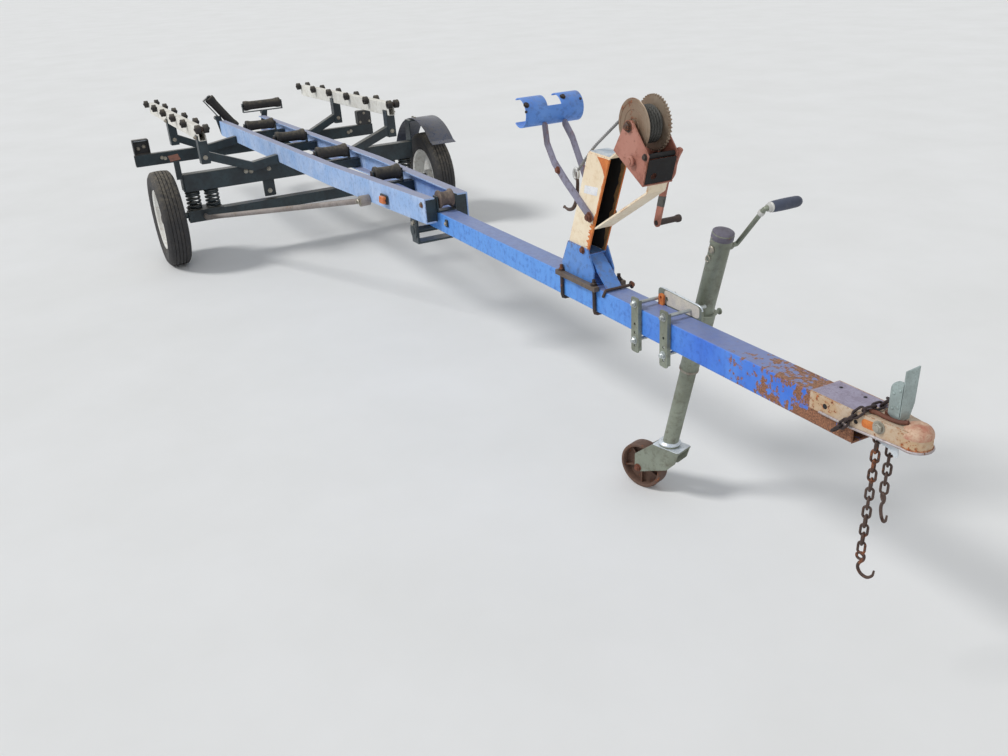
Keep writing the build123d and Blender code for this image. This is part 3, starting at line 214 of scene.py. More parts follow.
class Piece:
    """One visible piece: its faces are collected in place, then given a body and a finish."""

    def __init__(self):
        self.mesh = bmesh.new()

    def skin(self, loops, closed=False):
        """Joins loops of as many points each into a skin: a ring of loops, or a bar with capped ends."""
        rows = [[self.mesh.verts.new(point) for point in loop] for loop in loops]
        pairs = list(zip(rows, rows[1:])) + [(rows[-1], rows[0])] * closed
        for low, high in pairs:
            for i in range(len(low)):
                j = (i + 1) % len(low)
                self.mesh.faces.new((low[i], low[j], high[j], high[i]))
        if not closed:
            self.mesh.faces.new(list(reversed(rows[0])))
            self.mesh.faces.new(rows[-1])
        return self

    def turned(self, place, outline, sides):
        """A ring turned about a place's z, from corners given as radius and height."""
        loops = []
        for a in angles(sides):
            loops.append([place @ Vector((r * cos(a), r * sin(a), z)) for r, z in outline])
        return self.skin(loops, closed=True)

    def tube(self, points, radius, sides, closed=False):
        """A round bar along a line; the radius is one number or one for each point."""
        points = [Vector(p) for p in points]
        radii = radius if isinstance(radius, list) else [radius] * len(points)
        loops = []
        for point, reach, (_, u, v) in zip(points, radii, transported(points, closed)):
            loops.append([point + u * reach * cos(a) + v * reach * sin(a) for a in angles(sides)])
        return self.skin(loops, closed)

    def prism(self, place, outline, low, high):
        """A solid outline between two heights of a place."""
        return self.skin([[place @ Vector((x, y, z)) for x, y in outline] for z in (low, high)])

    def plate(self, place, outline, thickness, holes=()):
        """A flat plate with holes through it."""
        edges = []
        for loop in [outline, *holes]:
            corners = [self.mesh.verts.new(place @ Vector((x, y, 0))) for x, y in loop]
            edges += [self.mesh.edges.new((corners[i - 1], corners[i])) for i in range(len(corners))]
        filled = bmesh.ops.triangle_fill(self.mesh, use_beauty=True, edges=edges)
        faces = [g for g in filled["geom"] if isinstance(g, bmesh.types.BMFace)]
        lifted = bmesh.ops.extrude_face_region(self.mesh, geom=faces, use_keep_orig=True)
        moved = [g for g in lifted["geom"] if isinstance(g, bmesh.types.BMVert)]
        bmesh.ops.translate(self.mesh, verts=moved, vec=place.to_3x3() @ Vector((0, 0, thickness)))
        return self

    def disc(self, place, radius, height, sides):
        return self.turned(place, [(0, 0), (radius, 0), (radius, height), (0, height)], sides)

    def block(self, place, x, y, z, radius=0.0015):
        """A block standing on a place, its upright edges rounded."""
        return self.prism(place, oblong(x, y, radius), 0.0, z)

    def bolt(self, place, size=0.006, shank=0.0, turn=0.3):
        """A hex head on a washer; a positive shank adds a threaded end above it."""
        self.disc(place, 2.1 * size, WASHER, 20)
        head = [(0, 0.94), (0.001, 1.0), (0.85 * size, 1.0), (1.15 * size, 0.82)]
        self.skin([[spot(place, x, y, WASHER + z) for x, y in circle(1.6 * size * share, 6, start=turn)]
                   for z, share in head])
        if shank:
            top = WASHER + 1.1 * size
            outline = [(0, top), (0.9 * size, top)]
            while top < shank:
                outline += [(0.9 * size, top), (size, top + THREAD / 2)]
                top += THREAD
            self.turned(place, outline + [(0.8 * size, top), (0, top)], 14)
        return self

    def done(self, name, finish, slot, replaced=(), body="frame", crease=38.0, soft=0.0):
        """Makes the piece, with its finish and the nodes that it stands for. Its slot argument is not used."""
        bmesh.ops.remove_doubles(self.mesh, verts=self.mesh.verts, dist=2e-6)
        bmesh.ops.recalc_face_normals(self.mesh, faces=self.mesh.faces)
        data = bpy.data.meshes.new(name)
        self.mesh.to_mesh(data)
        self.mesh.free()
        data.polygons.foreach_set("use_smooth", [True] * len(data.polygons))
        data.set_sharp_from_angle(angle=radians(crease))
        data.materials.append(FINISHED[finish])
        made = stood(name, data)
        if soft:
            rounding(made, soft)
        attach(made, body)
        if replaced:
            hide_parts(*replaced)
        return made


def rounding(thing, width):
    """Softens hard edges."""
    bevel = thing.modifiers.new("edges", "BEVEL")
    bevel.width = width
    bevel.segments = 2
    bevel.limit_method = "ANGLE"
    bevel.angle_limit = radians(40)
    bevel.harden_normals = True
    bevel.use_clamp_overlap = True


def side_plate(piece, outline, y, thickness, holes=()):
    """A plate that faces sideways, its corners given as x from the axle and height."""
    loops = [[(x, -z) for x, z in loop] for loop in (outline, *holes)]
    return piece.plate(across(0, y, 0), loops[0], thickness, loops[1:])


# Finishes

def tint(red, green, blue):
    """A colour given as it looks on a screen."""
    light = [((c / 255 + 0.055) / 1.055) ** 2.4 if c > 10 else c / 3295 for c in (red, green, blue)]
    return (*light, 1.0)


NO_RUST, RUST = 1.5, ((84, 52, 38), (150, 92, 58))
WORN_EDGE, GRAIN_HEIGHT = 0.004, 0.0012
DUST = tint(176, 164, 140)
FINISHED = {}


def feed(tree, socket, value):
    """Gives a socket a value, or the output of another node."""
    if isinstance(value, bpy.types.NodeSocket):
        tree.links.new(value, socket)
    else:
        socket.default_value = value


def put(tree, kind, settings=(), **sockets):
    """Adds a node; its sockets are given by name, with _ for a space."""
    made = tree.nodes.new("ShaderNode" + kind)
    for key, value in settings:
        setattr(made, key, value)
    for key, value in sockets.items():
        feed(tree, made.inputs[key.replace("_", " ")], value)
    return made


def noise(tree, where, scale, detail, rough):
    return put(tree, "TexNoise", Vector=where, Scale=scale, Detail=detail, Roughness=rough).outputs[0]


def ramp(tree, value, low, high, start=0.0, end=1.0):
    made = put(tree, "MapRange", Value=value, From_Min=low, From_Max=high, To_Min=start, To_Max=end)
    return made.outputs[0]


def sums(tree, operation, a, b):
    made = put(tree, "Math", [("operation", operation)])
    feed(tree, made.inputs[0], a)
    feed(tree, made.inputs[1], b)
    return made.outputs[0]


def mixed(tree, factor, a, b):
    """Two colours blended by a factor."""
    made = put(tree, "Mix", [("data_type", "RGBA")])
    for number, value in (0, factor), (6, a), (7, b):
        feed(tree, made.inputs[number], value)
    return made.outputs[2]


def begun(name):
    """A new material: its nodes, its shader and the place of a point."""
    material = bpy.data.materials.new(name)
    material.use_nodes = True
    FINISHED[name] = material
    tree = material.node_tree
    return tree, tree.nodes["Principled BSDF"], put(tree, "TexCoord").outputs["Object"]


def look(name, base, tone, shade, level=NO_RUST, pull=0.0, rough=0.5, metal=0.0, bump=0.3, dust=0.0,
         patch=7.0, grain=260.0, streak=0.0, up=None, towards=None, colour_along_x=None, rust=RUST):
    """Painted or bare metal, rubber or plastic with patches, grime, worn edges, rust, dust and painted light on
    tops.

    Base and tone mix in patches, and shade is the grime. Level is where rust starts, and pull is how far
    edges lower it. Towards adds rust along X, from one place to another and by how much. Colour_along_x is
    a colour that takes over along X between two places. Up is painted light on tops: faces that point up
    take this colour, the way tops look in the light.
    """
    tree, shader, where = begun(name)
    shape = put(tree, "NewGeometry").outputs["Normal"]
    broad = noise(tree, where, patch, 5.0, 0.6)
    speck = noise(tree, where, patch * 7, 8.0, 0.7)
    fine = noise(tree, where, grain, 3.0, 0.5)
    paint = mixed(tree, ramp(tree, broad, 0.4, 0.62), tint(*base), tint(*tone))
    place = put(tree, "SeparateXYZ", Vector=where).outputs["X"]
    # A second colour takes over along X; on the tongue the blue gets lighter towards the rear.
    if colour_along_x:
        colour, start, end = colour_along_x
        share = ramp(tree, place, AXLE_X + start, AXLE_X + end, 0.0, 0.85)
        paint = mixed(tree, share, paint, tint(*colour))
    paint = mixed(tree, ramp(tree, speck, 0.5, 0.72, 0.0, 0.75), paint, tint(*shade))
    rising = put(tree, "SeparateXYZ", Vector=shape).outputs["Z"]
    # Painted light: faces that point up take the up colour, the way tops look in the light.
    if up:
        paint = mixed(tree, ramp(tree, rising, 0.6, 0.95, 0.0, 0.85), paint, tint(*up))
    if streak:
        drawn = put(tree, "Mapping", Vector=where, Scale=(60.0, 60.0, 5.0)).outputs[0]
        lines = noise(tree, drawn, 1.0, 5.0, 0.6)
        paint = mixed(tree, ramp(tree, lines, 0.5, 0.75, 0.0, streak), paint, tint(*shade))
    value = sums(tree, "ADD", sums(tree, "MULTIPLY", speck, 0.6), sums(tree, "MULTIPLY", broad, 0.4))
    covered = None
    if level < 1:
        if pull:
            eased = put(tree, "Bevel", [("samples", 4)], Radius=WORN_EDGE).outputs[0]
            agree = put(tree, "VectorMath", [("operation", "DOT_PRODUCT")])
            tree.links.new(eased, agree.inputs[0])
            tree.links.new(shape, agree.inputs[1])
            edge = ramp(tree, agree.outputs["Value"], 0.99, 0.85)
            value = sums(tree, "ADD", value, sums(tree, "MULTIPLY", edge, pull))
        if towards:
            start, end, reach = towards
            drift = ramp(tree, place, AXLE_X + start, AXLE_X + end, 0.0, reach)
            drawn = put(tree, "Mapping", Vector=where, Scale=(55.0, 55.0, 14.0)).outputs[0]
            runs = ramp(tree, noise(tree, drawn, 1.0, 6.0, 0.65), 0.3, 0.7, 0.55, 1.45)
            value = sums(tree, "ADD", value, sums(tree, "MULTIPLY", drift, runs))
        covered = ramp(tree, value, level, level + 0.03)
        rusted = mixed(tree, ramp(tree, fine, 0.35, 0.65), tint(*rust[0]), tint(*rust[1]))
        paint = mixed(tree, covered, paint, rusted)
    if dust:
        level_faces = ramp(tree, rising, 0.1, 1.0, 0.0, dust)
        settled = sums(tree, "MULTIPLY", level_faces, ramp(tree, speck, 0.35, 0.65))
        paint = mixed(tree, settled, paint, DUST)
    tree.links.new(paint, shader.inputs["Base Color"])
    gloss = ramp(tree, speck, 0.35, 0.7, rough - 0.08, rough + 0.14)
    if covered:
        gloss = sums(tree, "MAXIMUM", gloss, sums(tree, "MULTIPLY", covered, 0.85))
    tree.links.new(gloss, shader.inputs["Roughness"])
    if metal and covered:
        tree.links.new(ramp(tree, covered, 0.0, 1.0, metal, 0.0), shader.inputs["Metallic"])
    height = sums(tree, "ADD", sums(tree, "MULTIPLY", fine, 0.5), speck)
    if covered:
        height = sums(tree, "ADD", height, sums(tree, "MULTIPLY", covered, 0.3))
    lift = put(tree, "Bump", Strength=bump, Distance=GRAIN_HEIGHT, Height=height).outputs[0]
    tree.links.new(lift, shader.inputs["Normal"])


def lens(name, base, deep, direction):
    """A moulded lens with fine ribs, faded by the sun."""
    tree, shader, where = begun(name)
    patch = noise(tree, where, 30.0, 4.0, 0.6)
    colour = mixed(tree, ramp(tree, patch, 0.35, 0.7), tint(*base), tint(*deep))
    rising = put(tree, "SeparateXYZ", Vector=put(tree, "NewGeometry").outputs["Normal"]).outputs["Z"]
    settled = sums(tree, "MULTIPLY", ramp(tree, rising, 0.1, 1.0, 0.05, 0.35), ramp(tree, patch, 0.3, 0.7))
    colour = mixed(tree, settled, colour, DUST)
    ribs = put(tree, "TexWave", [("bands_direction", direction)], Vector=where, Scale=60.0).outputs[1]
    tree.links.new(colour, shader.inputs["Base Color"])
    tree.links.new(ramp(tree, patch, 0.3, 0.7, 0.16, 0.34), shader.inputs["Roughness"])
    shader.inputs["Coat Weight"].default_value = 0.4
    shader.inputs["Subsurface Weight"].default_value = 0.15
    shader.inputs["Subsurface Radius"].default_value = (0.004, 0.001, 0.001)
    lift = put(tree, "Bump", Strength=0.35, Distance=0.0006, Height=ribs).outputs[0]
    tree.links.new(lift, shader.inputs["Normal"])


# Finishes of the slots
# The up colours of tongue_blue and rail_blue are painted light on the tongue's and the rails' tops.
look("tongue_blue", (52, 112, 214), (74, 132, 222), (44, 84, 168), 0.65, 0.1, rough=0.42, dust=0.15,
     towards=(3.68, 4.12, 0.24), streak=0.3, colour_along_x=((92, 156, 230), 3.72, 3.2), up=(114, 126, 168),
     rust=((102, 68, 52), (160, 110, 80)))
look("rail_blue", (148, 180, 224), (174, 196, 230), (116, 136, 174), 0.66, 0.11, rough=0.62, dust=0.25,
     up=(140, 142, 166), streak=0.25)
look("frame_black", (26, 36, 42), (40, 56, 62), (18, 24, 28), 0.7, 0.06, rough=0.38, dust=0.3)
look("bunk_white", (232, 230, 222), (216, 213, 204), (190, 184, 170), 0.71, 0.07, rough=0.6, bump=0.2,
     dust=0.3)
look("roller_black", (28, 28, 29), (42, 38, 37), (62, 56, 52), rough=0.7, bump=0.4, dust=0.3)
look("roller_worn", (116, 100, 92), (88, 76, 72), (140, 122, 108), rough=0.8, bump=0.6, dust=0.3)
look("tyre_black", (38, 38, 40), (50, 49, 50), (78, 74, 70), rough=0.78, bump=0.45, dust=0.35)
look("rim_white", (226, 226, 222), (208, 206, 200), (170, 160, 146), 0.68, 0.07, bump=0.2, dust=0.25)
look("fender_slate", (48, 54, 70), (60, 67, 86), (34, 37, 48), 0.74, 0.06, rough=0.33, bump=0.12,
     dust=0.2)
look("rod_grey", (150, 142, 138), (128, 120, 116), (108, 98, 92), 0.585, 0.03, rough=0.6, metal=0.35,
     dust=0.2)
look("winch_rust", (160, 102, 86), (176, 122, 106), (122, 72, 56), 0.6, 0.08, rough=0.62, bump=0.35,
     dust=0.1)
look("drum_steel", (158, 142, 124), (138, 116, 96), (116, 94, 76), 0.6, 0.05, metal=0.4)
look("post_cream", (240, 226, 200), (232, 212, 182), (212, 186, 148), 0.66, 0.16, bump=0.2, dust=0.1,
     streak=0.12, rust=((164, 88, 42), (212, 136, 74)))
look("arm_steel", (138, 136, 154), (116, 108, 120), (92, 76, 76), 0.58, 0.08, rough=0.55, metal=0.3,
     rust=((104, 62, 54), (166, 110, 96)))
look("rope_grey", (150, 148, 146), (128, 128, 128), (96, 94, 92), rough=0.9, bump=0.5, patch=40.0)
look("rope_dark", (92, 92, 88), (70, 70, 68), (50, 49, 47), rough=0.9, bump=0.5, grain=900.0, dust=0.1)
look("hook_steel", (92, 74, 66), (70, 54, 48), (56, 42, 36), 0.55, 0.03, rough=0.6, metal=0.35, bump=0.5)
look("galvanised", (142, 148, 134), (120, 124, 110), (100, 94, 82), 0.68, 0.05, metal=0.45, bump=0.25,
     dust=0.1)
look("caster_rust", (108, 82, 68), (88, 68, 60), (70, 54, 48), 0.56, 0.05, rough=0.7, metal=0.2, bump=0.5)
look("coupler_rust", (200, 182, 160), (190, 160, 126), (170, 122, 84), 0.57, 0.12, rough=0.6, metal=0.1,
     bump=0.45, patch=16.0, rust=((104, 62, 40), (184, 104, 54)))
look("lamp_black", (32, 33, 36), (44, 45, 48), (70, 68, 66), bump=0.2, dust=0.3)
# Finishes of added pieces
look("saddle_blue", (84, 136, 216), (106, 152, 222), (60, 84, 136), 0.67, 0.1, dust=0.25)
look("seat_blue", (78, 132, 206), (100, 146, 210), (70, 82, 112), 0.61, 0.12, rough=0.45, bump=0.35,
     dust=0.15)
look("bolt_zinc", (168, 164, 152), (138, 130, 118), (96, 78, 64), 0.6, 0.03, rough=0.45, metal=0.5)
look("bolt_dark", (58, 50, 48), (78, 62, 54), (40, 34, 32), 0.58, 0.03, rough=0.6, metal=0.3, bump=0.4)
look("grip_dark", (58, 46, 42), (46, 38, 36), (84, 68, 60), rough=0.6, bump=0.4)
look("grip_slate", (64, 72, 92), (52, 58, 74), (88, 92, 104))
# Black for the sheets of painted shade inside the winch frame and the post (with the post's dark inside paint),
# and for the coupler's rivets.
look("black_and_painted_shade", (20, 20, 22), (30, 28, 28), (48, 38, 32), 0.68, 0.02, rough=0.85, bump=0.4)
look("cap_grape", (112, 108, 122), (96, 92, 102), (78, 72, 78), 0.66, 0.06, rough=0.55, metal=0.2)
look("thimble_pale", (206, 206, 202), (182, 180, 174), (140, 132, 122), 0.7, 0.02, rough=0.45, metal=0.3,
     bump=0.2)
look("rust_orange", (214, 128, 64), (196, 106, 52), (150, 78, 44), rough=0.8, bump=0.5, patch=40.0)
look("rust_mottled", (126, 98, 66), (152, 116, 70), (70, 50, 38), rough=0.85, bump=0.6, patch=40.0)
look("roof_pale", (176, 190, 202), (206, 212, 216), (150, 150, 148), 0.68, 0.04, metal=0.2, bump=0.2,
     patch=30.0)
look("patch_white", (232, 232, 234), (214, 216, 222), (190, 188, 186), bump=0.1, patch=50.0)
look("bar_brown", (104, 92, 82), (88, 74, 66), (66, 54, 48), 0.62, 0.05, rough=0.6, metal=0.2, bump=0.4,
     dust=0.2)
look("bolt_rusty", (112, 66, 48), (86, 52, 42), (56, 38, 34), 0.6, 0.03, rough=0.75, bump=0.5)
look("rod_bright", (190, 196, 196), (160, 164, 162), (118, 112, 104), 0.66, 0.02, rough=0.35, metal=0.6,
     bump=0.2)
look("plate_cream", (212, 204, 188), (196, 190, 180), (168, 160, 148), rough=0.7, bump=0.2, patch=30.0)
look("edge_white", (216, 222, 226), (196, 204, 212), (160, 162, 162), 0.7, 0.02, rough=0.35, metal=0.3,
     bump=0.15, patch=30.0)
look("rolled_pale", (184, 178, 180), (160, 150, 150), (120, 100, 92), 0.6, 0.02, rough=0.45, metal=0.3,
     bump=0.35, patch=30.0)
look("dome_rust", (204, 174, 148), (180, 122, 100), (146, 88, 62), rough=0.7, bump=0.5, patch=30.0)
# Painted light: the lavender grey that the coupler's top shows in the light.
look("painted_light_top_grey", (158, 152, 172), (140, 132, 150), (116, 102, 106), 0.62, 0.05, rough=0.6, bump=0.4,
     patch=24.0)
look("latch_zinc", (166, 180, 178), (150, 162, 160), (124, 132, 128), 0.72, 0.03, rough=0.45, metal=0.45,
     bump=0.2, patch=30.0)
look("chain_black", (54, 42, 42), (40, 32, 34), (84, 58, 48), 0.66, 0.03, rough=0.65, metal=0.2, bump=0.5,
     patch=60.0)
look("wire_black", (26, 26, 28), (36, 36, 38), (50, 48, 46), rough=0.6, bump=0.1)
lens("lens_red", (196, 34, 26), (140, 20, 18), "Y")
lens("marker_amber", (232, 132, 40), (196, 92, 22), "X")

# Edges of the frame's own solids, and the nodes whose finish differs from their slot's
NODE_FINISH = {"bow_saddle": "saddle_blue", "post_seat": "seat_blue"}
NODE_ROUNDING = {
    "tongue": 0.005, "right_rail": 0.0025, "left_rail": 0.0025, "right_bunk": 0.003, "left_bunk": 0.003,
    "axle_crossmember": 0.004, "light_bar": 0.004, "axle": 0.004, "coupler": 0.003, "left_fender": 0.0008,
    "front_bunk_arms": 0.003, "rear_bunk_arms": 0.003, "tail_lights": 0.004, "tail_lenses": 0.003,
}
USUAL_ROUNDING = 0.0011


def dress_node(name, node):
    """Gives a solid of the frame its finish, its shading and softened edges."""
    finish = NODE_FINISH.get(name, SLOT_OF[name])
    node.data.materials.clear()
    node.data.materials.append(FINISHED[finish])
    weld = node.modifiers.new("weld", "WELD")
    weld.merge_threshold = 1e-5
    rounding(node, NODE_ROUNDING.get(name, USUAL_ROUNDING))


for node_name, node in frame["nodes"].items():
    dress_node(node_name, node)


# Rope from the winch and its hook

ROPE_Y, ROPE_DIAMETER, ROPE_LENGTH = -0.012, 0.009, 0.366
ROPE_ROUTE = [(3.3831, 1.2226), (3.2299, 1.1129), (3.186, 1.0815), (3.1468, 1.0443), (3.096, 0.996)]
HOOK_LINE = [
    (3.0958, 0.9958), (3.098, 0.975), (3.098, 0.952), (3.0915, 0.912), (3.073, 0.882), (3.046, 0.8705),
    (3.02, 0.873),
]
THIMBLE, THIMBLE_REACH, THIMBLE_WIRE = (3.091, 0.989), (0.0125, 0.0155), 0.0046
HOOK_RADII = [0.0045, 0.0048, 0.0052, 0.0058, 0.006, 0.0052, 0.003]
STRANDS, STRAND_PITCH = 3, 0.028


def strands(piece, points, radius, sides):
    """Three strands laid round a line of close points."""
    rows = transported(points)
    run = 0.0
    turns = [0.0]
    for before, after in zip(points, points[1:]):
        run += (after - before).length
        turns.append(tau * run / STRAND_PITCH)
    for number in range(STRANDS):
        phase = tau * number / STRANDS
        line = []
        for point, (_, u, v), turn in zip(points, rows, turns):
            line.append(point + (u * cos(turn + phase) + v * sin(turn + phase)) * radius * 0.5)
        piece.tube(line, radius * 0.5, sides)


def evenly(points, step):
    """The same line with points a small step apart."""
    line = [points[0]]
    for before, after in zip(points, points[1:]):
        count = max(1, round((after - before).length / step))
        line += [before.lerp(after, (k + 1) / count) for k in range(count)]
    return line


def winch_rope():
    curve = bpy.data.curves.new("rope_route", "CURVE")
    curve.dimensions = "3D"
    spline = curve.splines.new("NURBS")
    spline.points.add(len(ROPE_ROUTE) - 1)
    for point, (x, z) in zip(spline.points, ROPE_ROUTE):
        point.co = (AXLE_X + x, ROPE_Y, z, 1.0)
    spline.order_u = 3
    spline.use_endpoint_u = True
    curve.resolution_u = 24
    route = bpy.data.objects.new("rope_route", curve)
    drawn = bpy.data.meshes.new_from_object(route)
    line = [vertex.co.copy() for vertex in drawn.vertices]
    bpy.data.objects.remove(route)
    rope = Piece()
    strands(rope, evenly(line, 0.0025), ROPE_DIAMETER / 2, 7)
    rope = rope.done("winch_rope_strands", "rope_grey", "rope_dark", ["winch_rope"], crease=80)
    hook = Piece()
    steps = 8
    hook_points = smooth([(AXLE_X + x, ROPE_Y, z) for x, z in HOOK_LINE], steps)
    radii = []
    for i in range(len(hook_points)):
        k = min(i // steps, len(HOOK_RADII) - 2)
        radii.append(HOOK_RADII[k] + (HOOK_RADII[k + 1] - HOOK_RADII[k]) * (i % steps) / steps)
    hook.tube(hook_points, radii, 14)
    hook = hook.done("rope_snap_hook", "hook_steel", "hook_steel", ["rope_hook"], crease=60)
    thimble = Piece()
    centre = Vector((AXLE_X + THIMBLE[0], ROPE_Y, THIMBLE[1]))
    wide, tall = THIMBLE_REACH
    ring = [centre + Vector((wide * cos(a), 0, tall * sin(a))) for a in angles(28)]
    thimble.tube(ring, THIMBLE_WIRE, 12, closed=True)
    thimble = thimble.done("rope_thimble", "thimble_pale", "hook_steel", crease=60)


winch_rope()


# Wheels

WHEEL_RADIUS, TREAD_HALF, GROOVE_HALF, GROOVE_DEPTH = 0.265, 0.0435, 0.0021, 0.0055
TREAD_FALL, GROOVE_SLOPE = 0.0034, 0.0006
GROOVES = (-0.0275, -0.0095, 0.0095, 0.0275)
SIDEWALL = [
    (0.1666, 0.036), (0.1666, 0.046), (0.1695, 0.0502), (0.178, 0.0535), (0.1862, 0.0562), (0.1872, 0.0572),
    (0.1898, 0.0574), (0.1906, 0.0566), (0.2, 0.0590), (0.214, 0.0612), (0.226, 0.0618), (0.2352, 0.0608),
    (0.2362, 0.0616), (0.2388, 0.0612), (0.2396, 0.06), (0.249, 0.0558), (0.2558, 0.0508), (0.2605, 0.0462),
]


def tread_radius(z):
    return WHEEL_RADIUS - TREAD_FALL * (z / TREAD_HALF) ** 2


def wheel_place(side_name):
    """The middle of a wheel, facing out."""
    return placed(pivot(f"{side_name}_wheel_spin"), (1, 0, 0), (0, SIDES[side_name], 0))


def tyre(side_name):
    crown = [(tread_radius(-TREAD_HALF), -TREAD_HALF)]
    for middle in GROOVES:
        low, high = middle - GROOVE_HALF, middle + GROOVE_HALF
        crown += [
            (tread_radius(low), low), (tread_radius(low) - GROOVE_DEPTH, low + GROOVE_SLOPE),
            (tread_radius(high) - GROOVE_DEPTH, high - GROOVE_SLOPE), (tread_radius(high), high),
        ]
    crown.append((tread_radius(TREAD_HALF), TREAD_HALF))
    outline = [(r, -z) for r, z in SIDEWALL] + crown + [(r, z) for r, z in reversed(SIDEWALL)]
    made = Piece().turned(wheel_place(side_name), outline, 128)
    made.done(f"{side_name}_ribbed_tyre", "tyre_black", "tyre_black", [f"{side_name}_tyre"],
              crease=32, body=f"{side_name}_wheel")


RIM_OUTLINE = [
    # radius, distance outward from the wheel's middle
    (0.0173, -0.034), (0.036, -0.034), (0.036, 0.006), (0.06, 0.006), (0.082, 0.0), (0.104, 0.001),
    (0.126, 0.008), (0.1335, 0.008), (0.141, -0.004), (0.1455, -0.019), (0.1485, -0.03), (0.151, -0.044),
    (0.158, -0.0485), (0.164, -0.051), (0.1662, -0.0485), (0.164, -0.0462), (0.156, -0.0445), (0.153, -0.04),
    (0.1515, -0.028), (0.146, -0.02), (0.1455, 0.018), (0.1515, 0.026), (0.153, 0.040), (0.156, 0.0445),
    (0.164, 0.0462), (0.1662, 0.0485), (0.164, 0.0515), (0.158, 0.0495), (0.1505, 0.0455), (0.1485, 0.033),
    (0.1445, 0.026), (0.136, 0.0155), (0.128, 0.012), (0.104, 0.0052), (0.083, 0.0045), (0.06, 0.0105),
    (0.040, 0.0115), (0.0173, 0.0115),
]
LUGS, LUG_CIRCLE = 5, 0.0572


def rim(side_name):
    place = wheel_place(side_name)
    body = f"{side_name}_wheel"
    Piece().turned(place, RIM_OUTLINE, 72).done(
        f"{side_name}_steel_rim", "rim_white", "rim_white", [f"{side_name}_rim"], crease=40, body=body)
    hub = Piece()
    hub.turned(place, [(0.0, 0.0112), (0.0345, 0.0112), (0.034, 0.019), (0.0325, 0.0215), (0.0295, 0.0222),
                       (0.0287, 0.034), (0.026, 0.0385), (0.018, 0.0412), (0.0, 0.042)], 40)
    for lug in range(LUGS):
        turn = tau * (lug + 0.25) / LUGS
        seat = on(place, LUG_CIRCLE * cos(turn), LUG_CIRCLE * sin(turn), 0.0098)
        hub.bolt(seat, 0.0063, shank=0.016, turn=0.2 * lug)
    hub.done(f"{side_name}_hub_cap_and_lugs", "bolt_dark", "rod_grey", body=body)
    valve = on(place, 0.139, 0.0, 0.018)
    Piece().turned(valve, [
        (0, 0), (0.0055, 0), (0.0052, 0.009), (0.0036, 0.011), (0.0036, 0.022), (0.0, 0.0225),
    ], 14).done(f"{side_name}_valve", "wire_black", "tyre_black", body=body)


for side_name in SIDES:
    tyre(side_name)
    rim(side_name)


# Coil springs

SPRING_Y, SPRING_X = (0.545, 0.65), -0.036
SPRING_RADIUS, SPRING_WIRE, SPRING_TURNS, SPRING_STEPS = 0.0355, 0.0065, 5.2, 140
SPRING_FLAT, SPRING_RISE = 0.12, 0.76


def coil_springs():
    made = Piece()
    low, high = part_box("coil_springs")
    for side in BOTH:
        for y in SPRING_Y:
            bottom, top = low.z + SPRING_WIRE, high.z - SPRING_WIRE - 0.001
            points = []
            for k in range(SPRING_STEPS + 1):
                share = k / SPRING_STEPS
                eased = min(max((share - SPRING_FLAT) / SPRING_RISE, 0.0), 1.0)
                angle = tau * SPRING_TURNS * share
                points.append(Vector((
                    AXLE_X + SPRING_X + SPRING_RADIUS * cos(angle), side * y + SPRING_RADIUS * sin(angle),
                    bottom + (top - bottom) * eased,
                )))
            made.tube(points, SPRING_WIRE, 10)
            for z in (low.z, high.z - 0.006):
                made.disc(upright(SPRING_X, side * y, z), 0.022, 0.005, 24)
    made.done("wire_springs", "frame_black", "frame_black", ["coil_springs"], crease=60)


coil_springs()


# Rollers

def roller_outline(length, radius, waist, lobe, bore=0.0085):
    """Half section of a waisted roller with stepped, rounded ends. Lobe is the share of its thick ends."""
    half = length / 2
    side = [
        (bore, half), (radius - 0.011, half), (radius - 0.009, half - 0.0015),
        (radius - 0.003, half - 0.0005), (radius - 0.0008, half - 0.0022), (radius, half - 0.005),
    ]
    inner = half * (1 - lobe)
    side += [(radius, inner + 0.004), (radius - 0.001, inner)]
    for step in range(1, 7):
        z = inner * (1 - step / 6)
        side.append((waist + (radius - 0.004 - waist) * (z / inner) ** 2, z))
    return [(r, -z) for r, z in side[:-1]] + [(r, z) for r, z in reversed(side)]


ROLLERS = {
    # name: length, radius, waist
    "keel_roller_1": (0.062, 0.036, 0.027), "keel_roller_2": (0.122, 0.036, 0.029),
    "keel_roller_3": (0.166, 0.036, 0.029), "keel_roller_4": (0.176, 0.036, 0.029),
    "keel_roller_5": (0.186, 0.036, 0.029), "right_rear_roller": (0.265, 0.034, 0.029),
    "left_rear_roller": (0.265, 0.034, 0.029),
}


def turning_rollers():
    for name, (length, radius, waist) in ROLLERS.items():
        place = at_joint(f"{name}_spin")
        outline = roller_outline(length, radius, waist, lobe=0.3 if length < 0.07 else 0.22)
        finish = SLOT_OF[name]
        Piece().turned(place, outline, 48).done(
            f"{name}_moulded", finish, finish, [name], crease=50, body=BODY_OF[name])


BUNK_Y, BUNK_RISE, BUNK_WIDTH = 0.556, 0.246, 0.038
BUNK_FIRST, BUNK_LAST, BUNK_PAIRS = 0.118, -1.768, 6
BUNK_ROLLER = [
    (0.0, 0.0), (0.012, 0.0), (0.0135, 0.0015), (0.0222, 0.0015), (0.0238, 0.0035), (0.0242, 0.0075),
    (0.0232, 0.015), (0.0242, 0.0225), (0.0238, 0.0265), (0.0222, 0.0285), (0.0145, 0.0285),
    (0.0135, 0.0262), (0.0095, 0.0262), (0.0092, 0.0325), (0.0062, 0.0345), (0.0, 0.0348),
]
BUNK_PIN = [(0, 0.0), (0.0088, 0.0), (0.0088, 0.0022), (0.006, 0.0026), (0.0056, 0.0092), (0, 0.0096)]


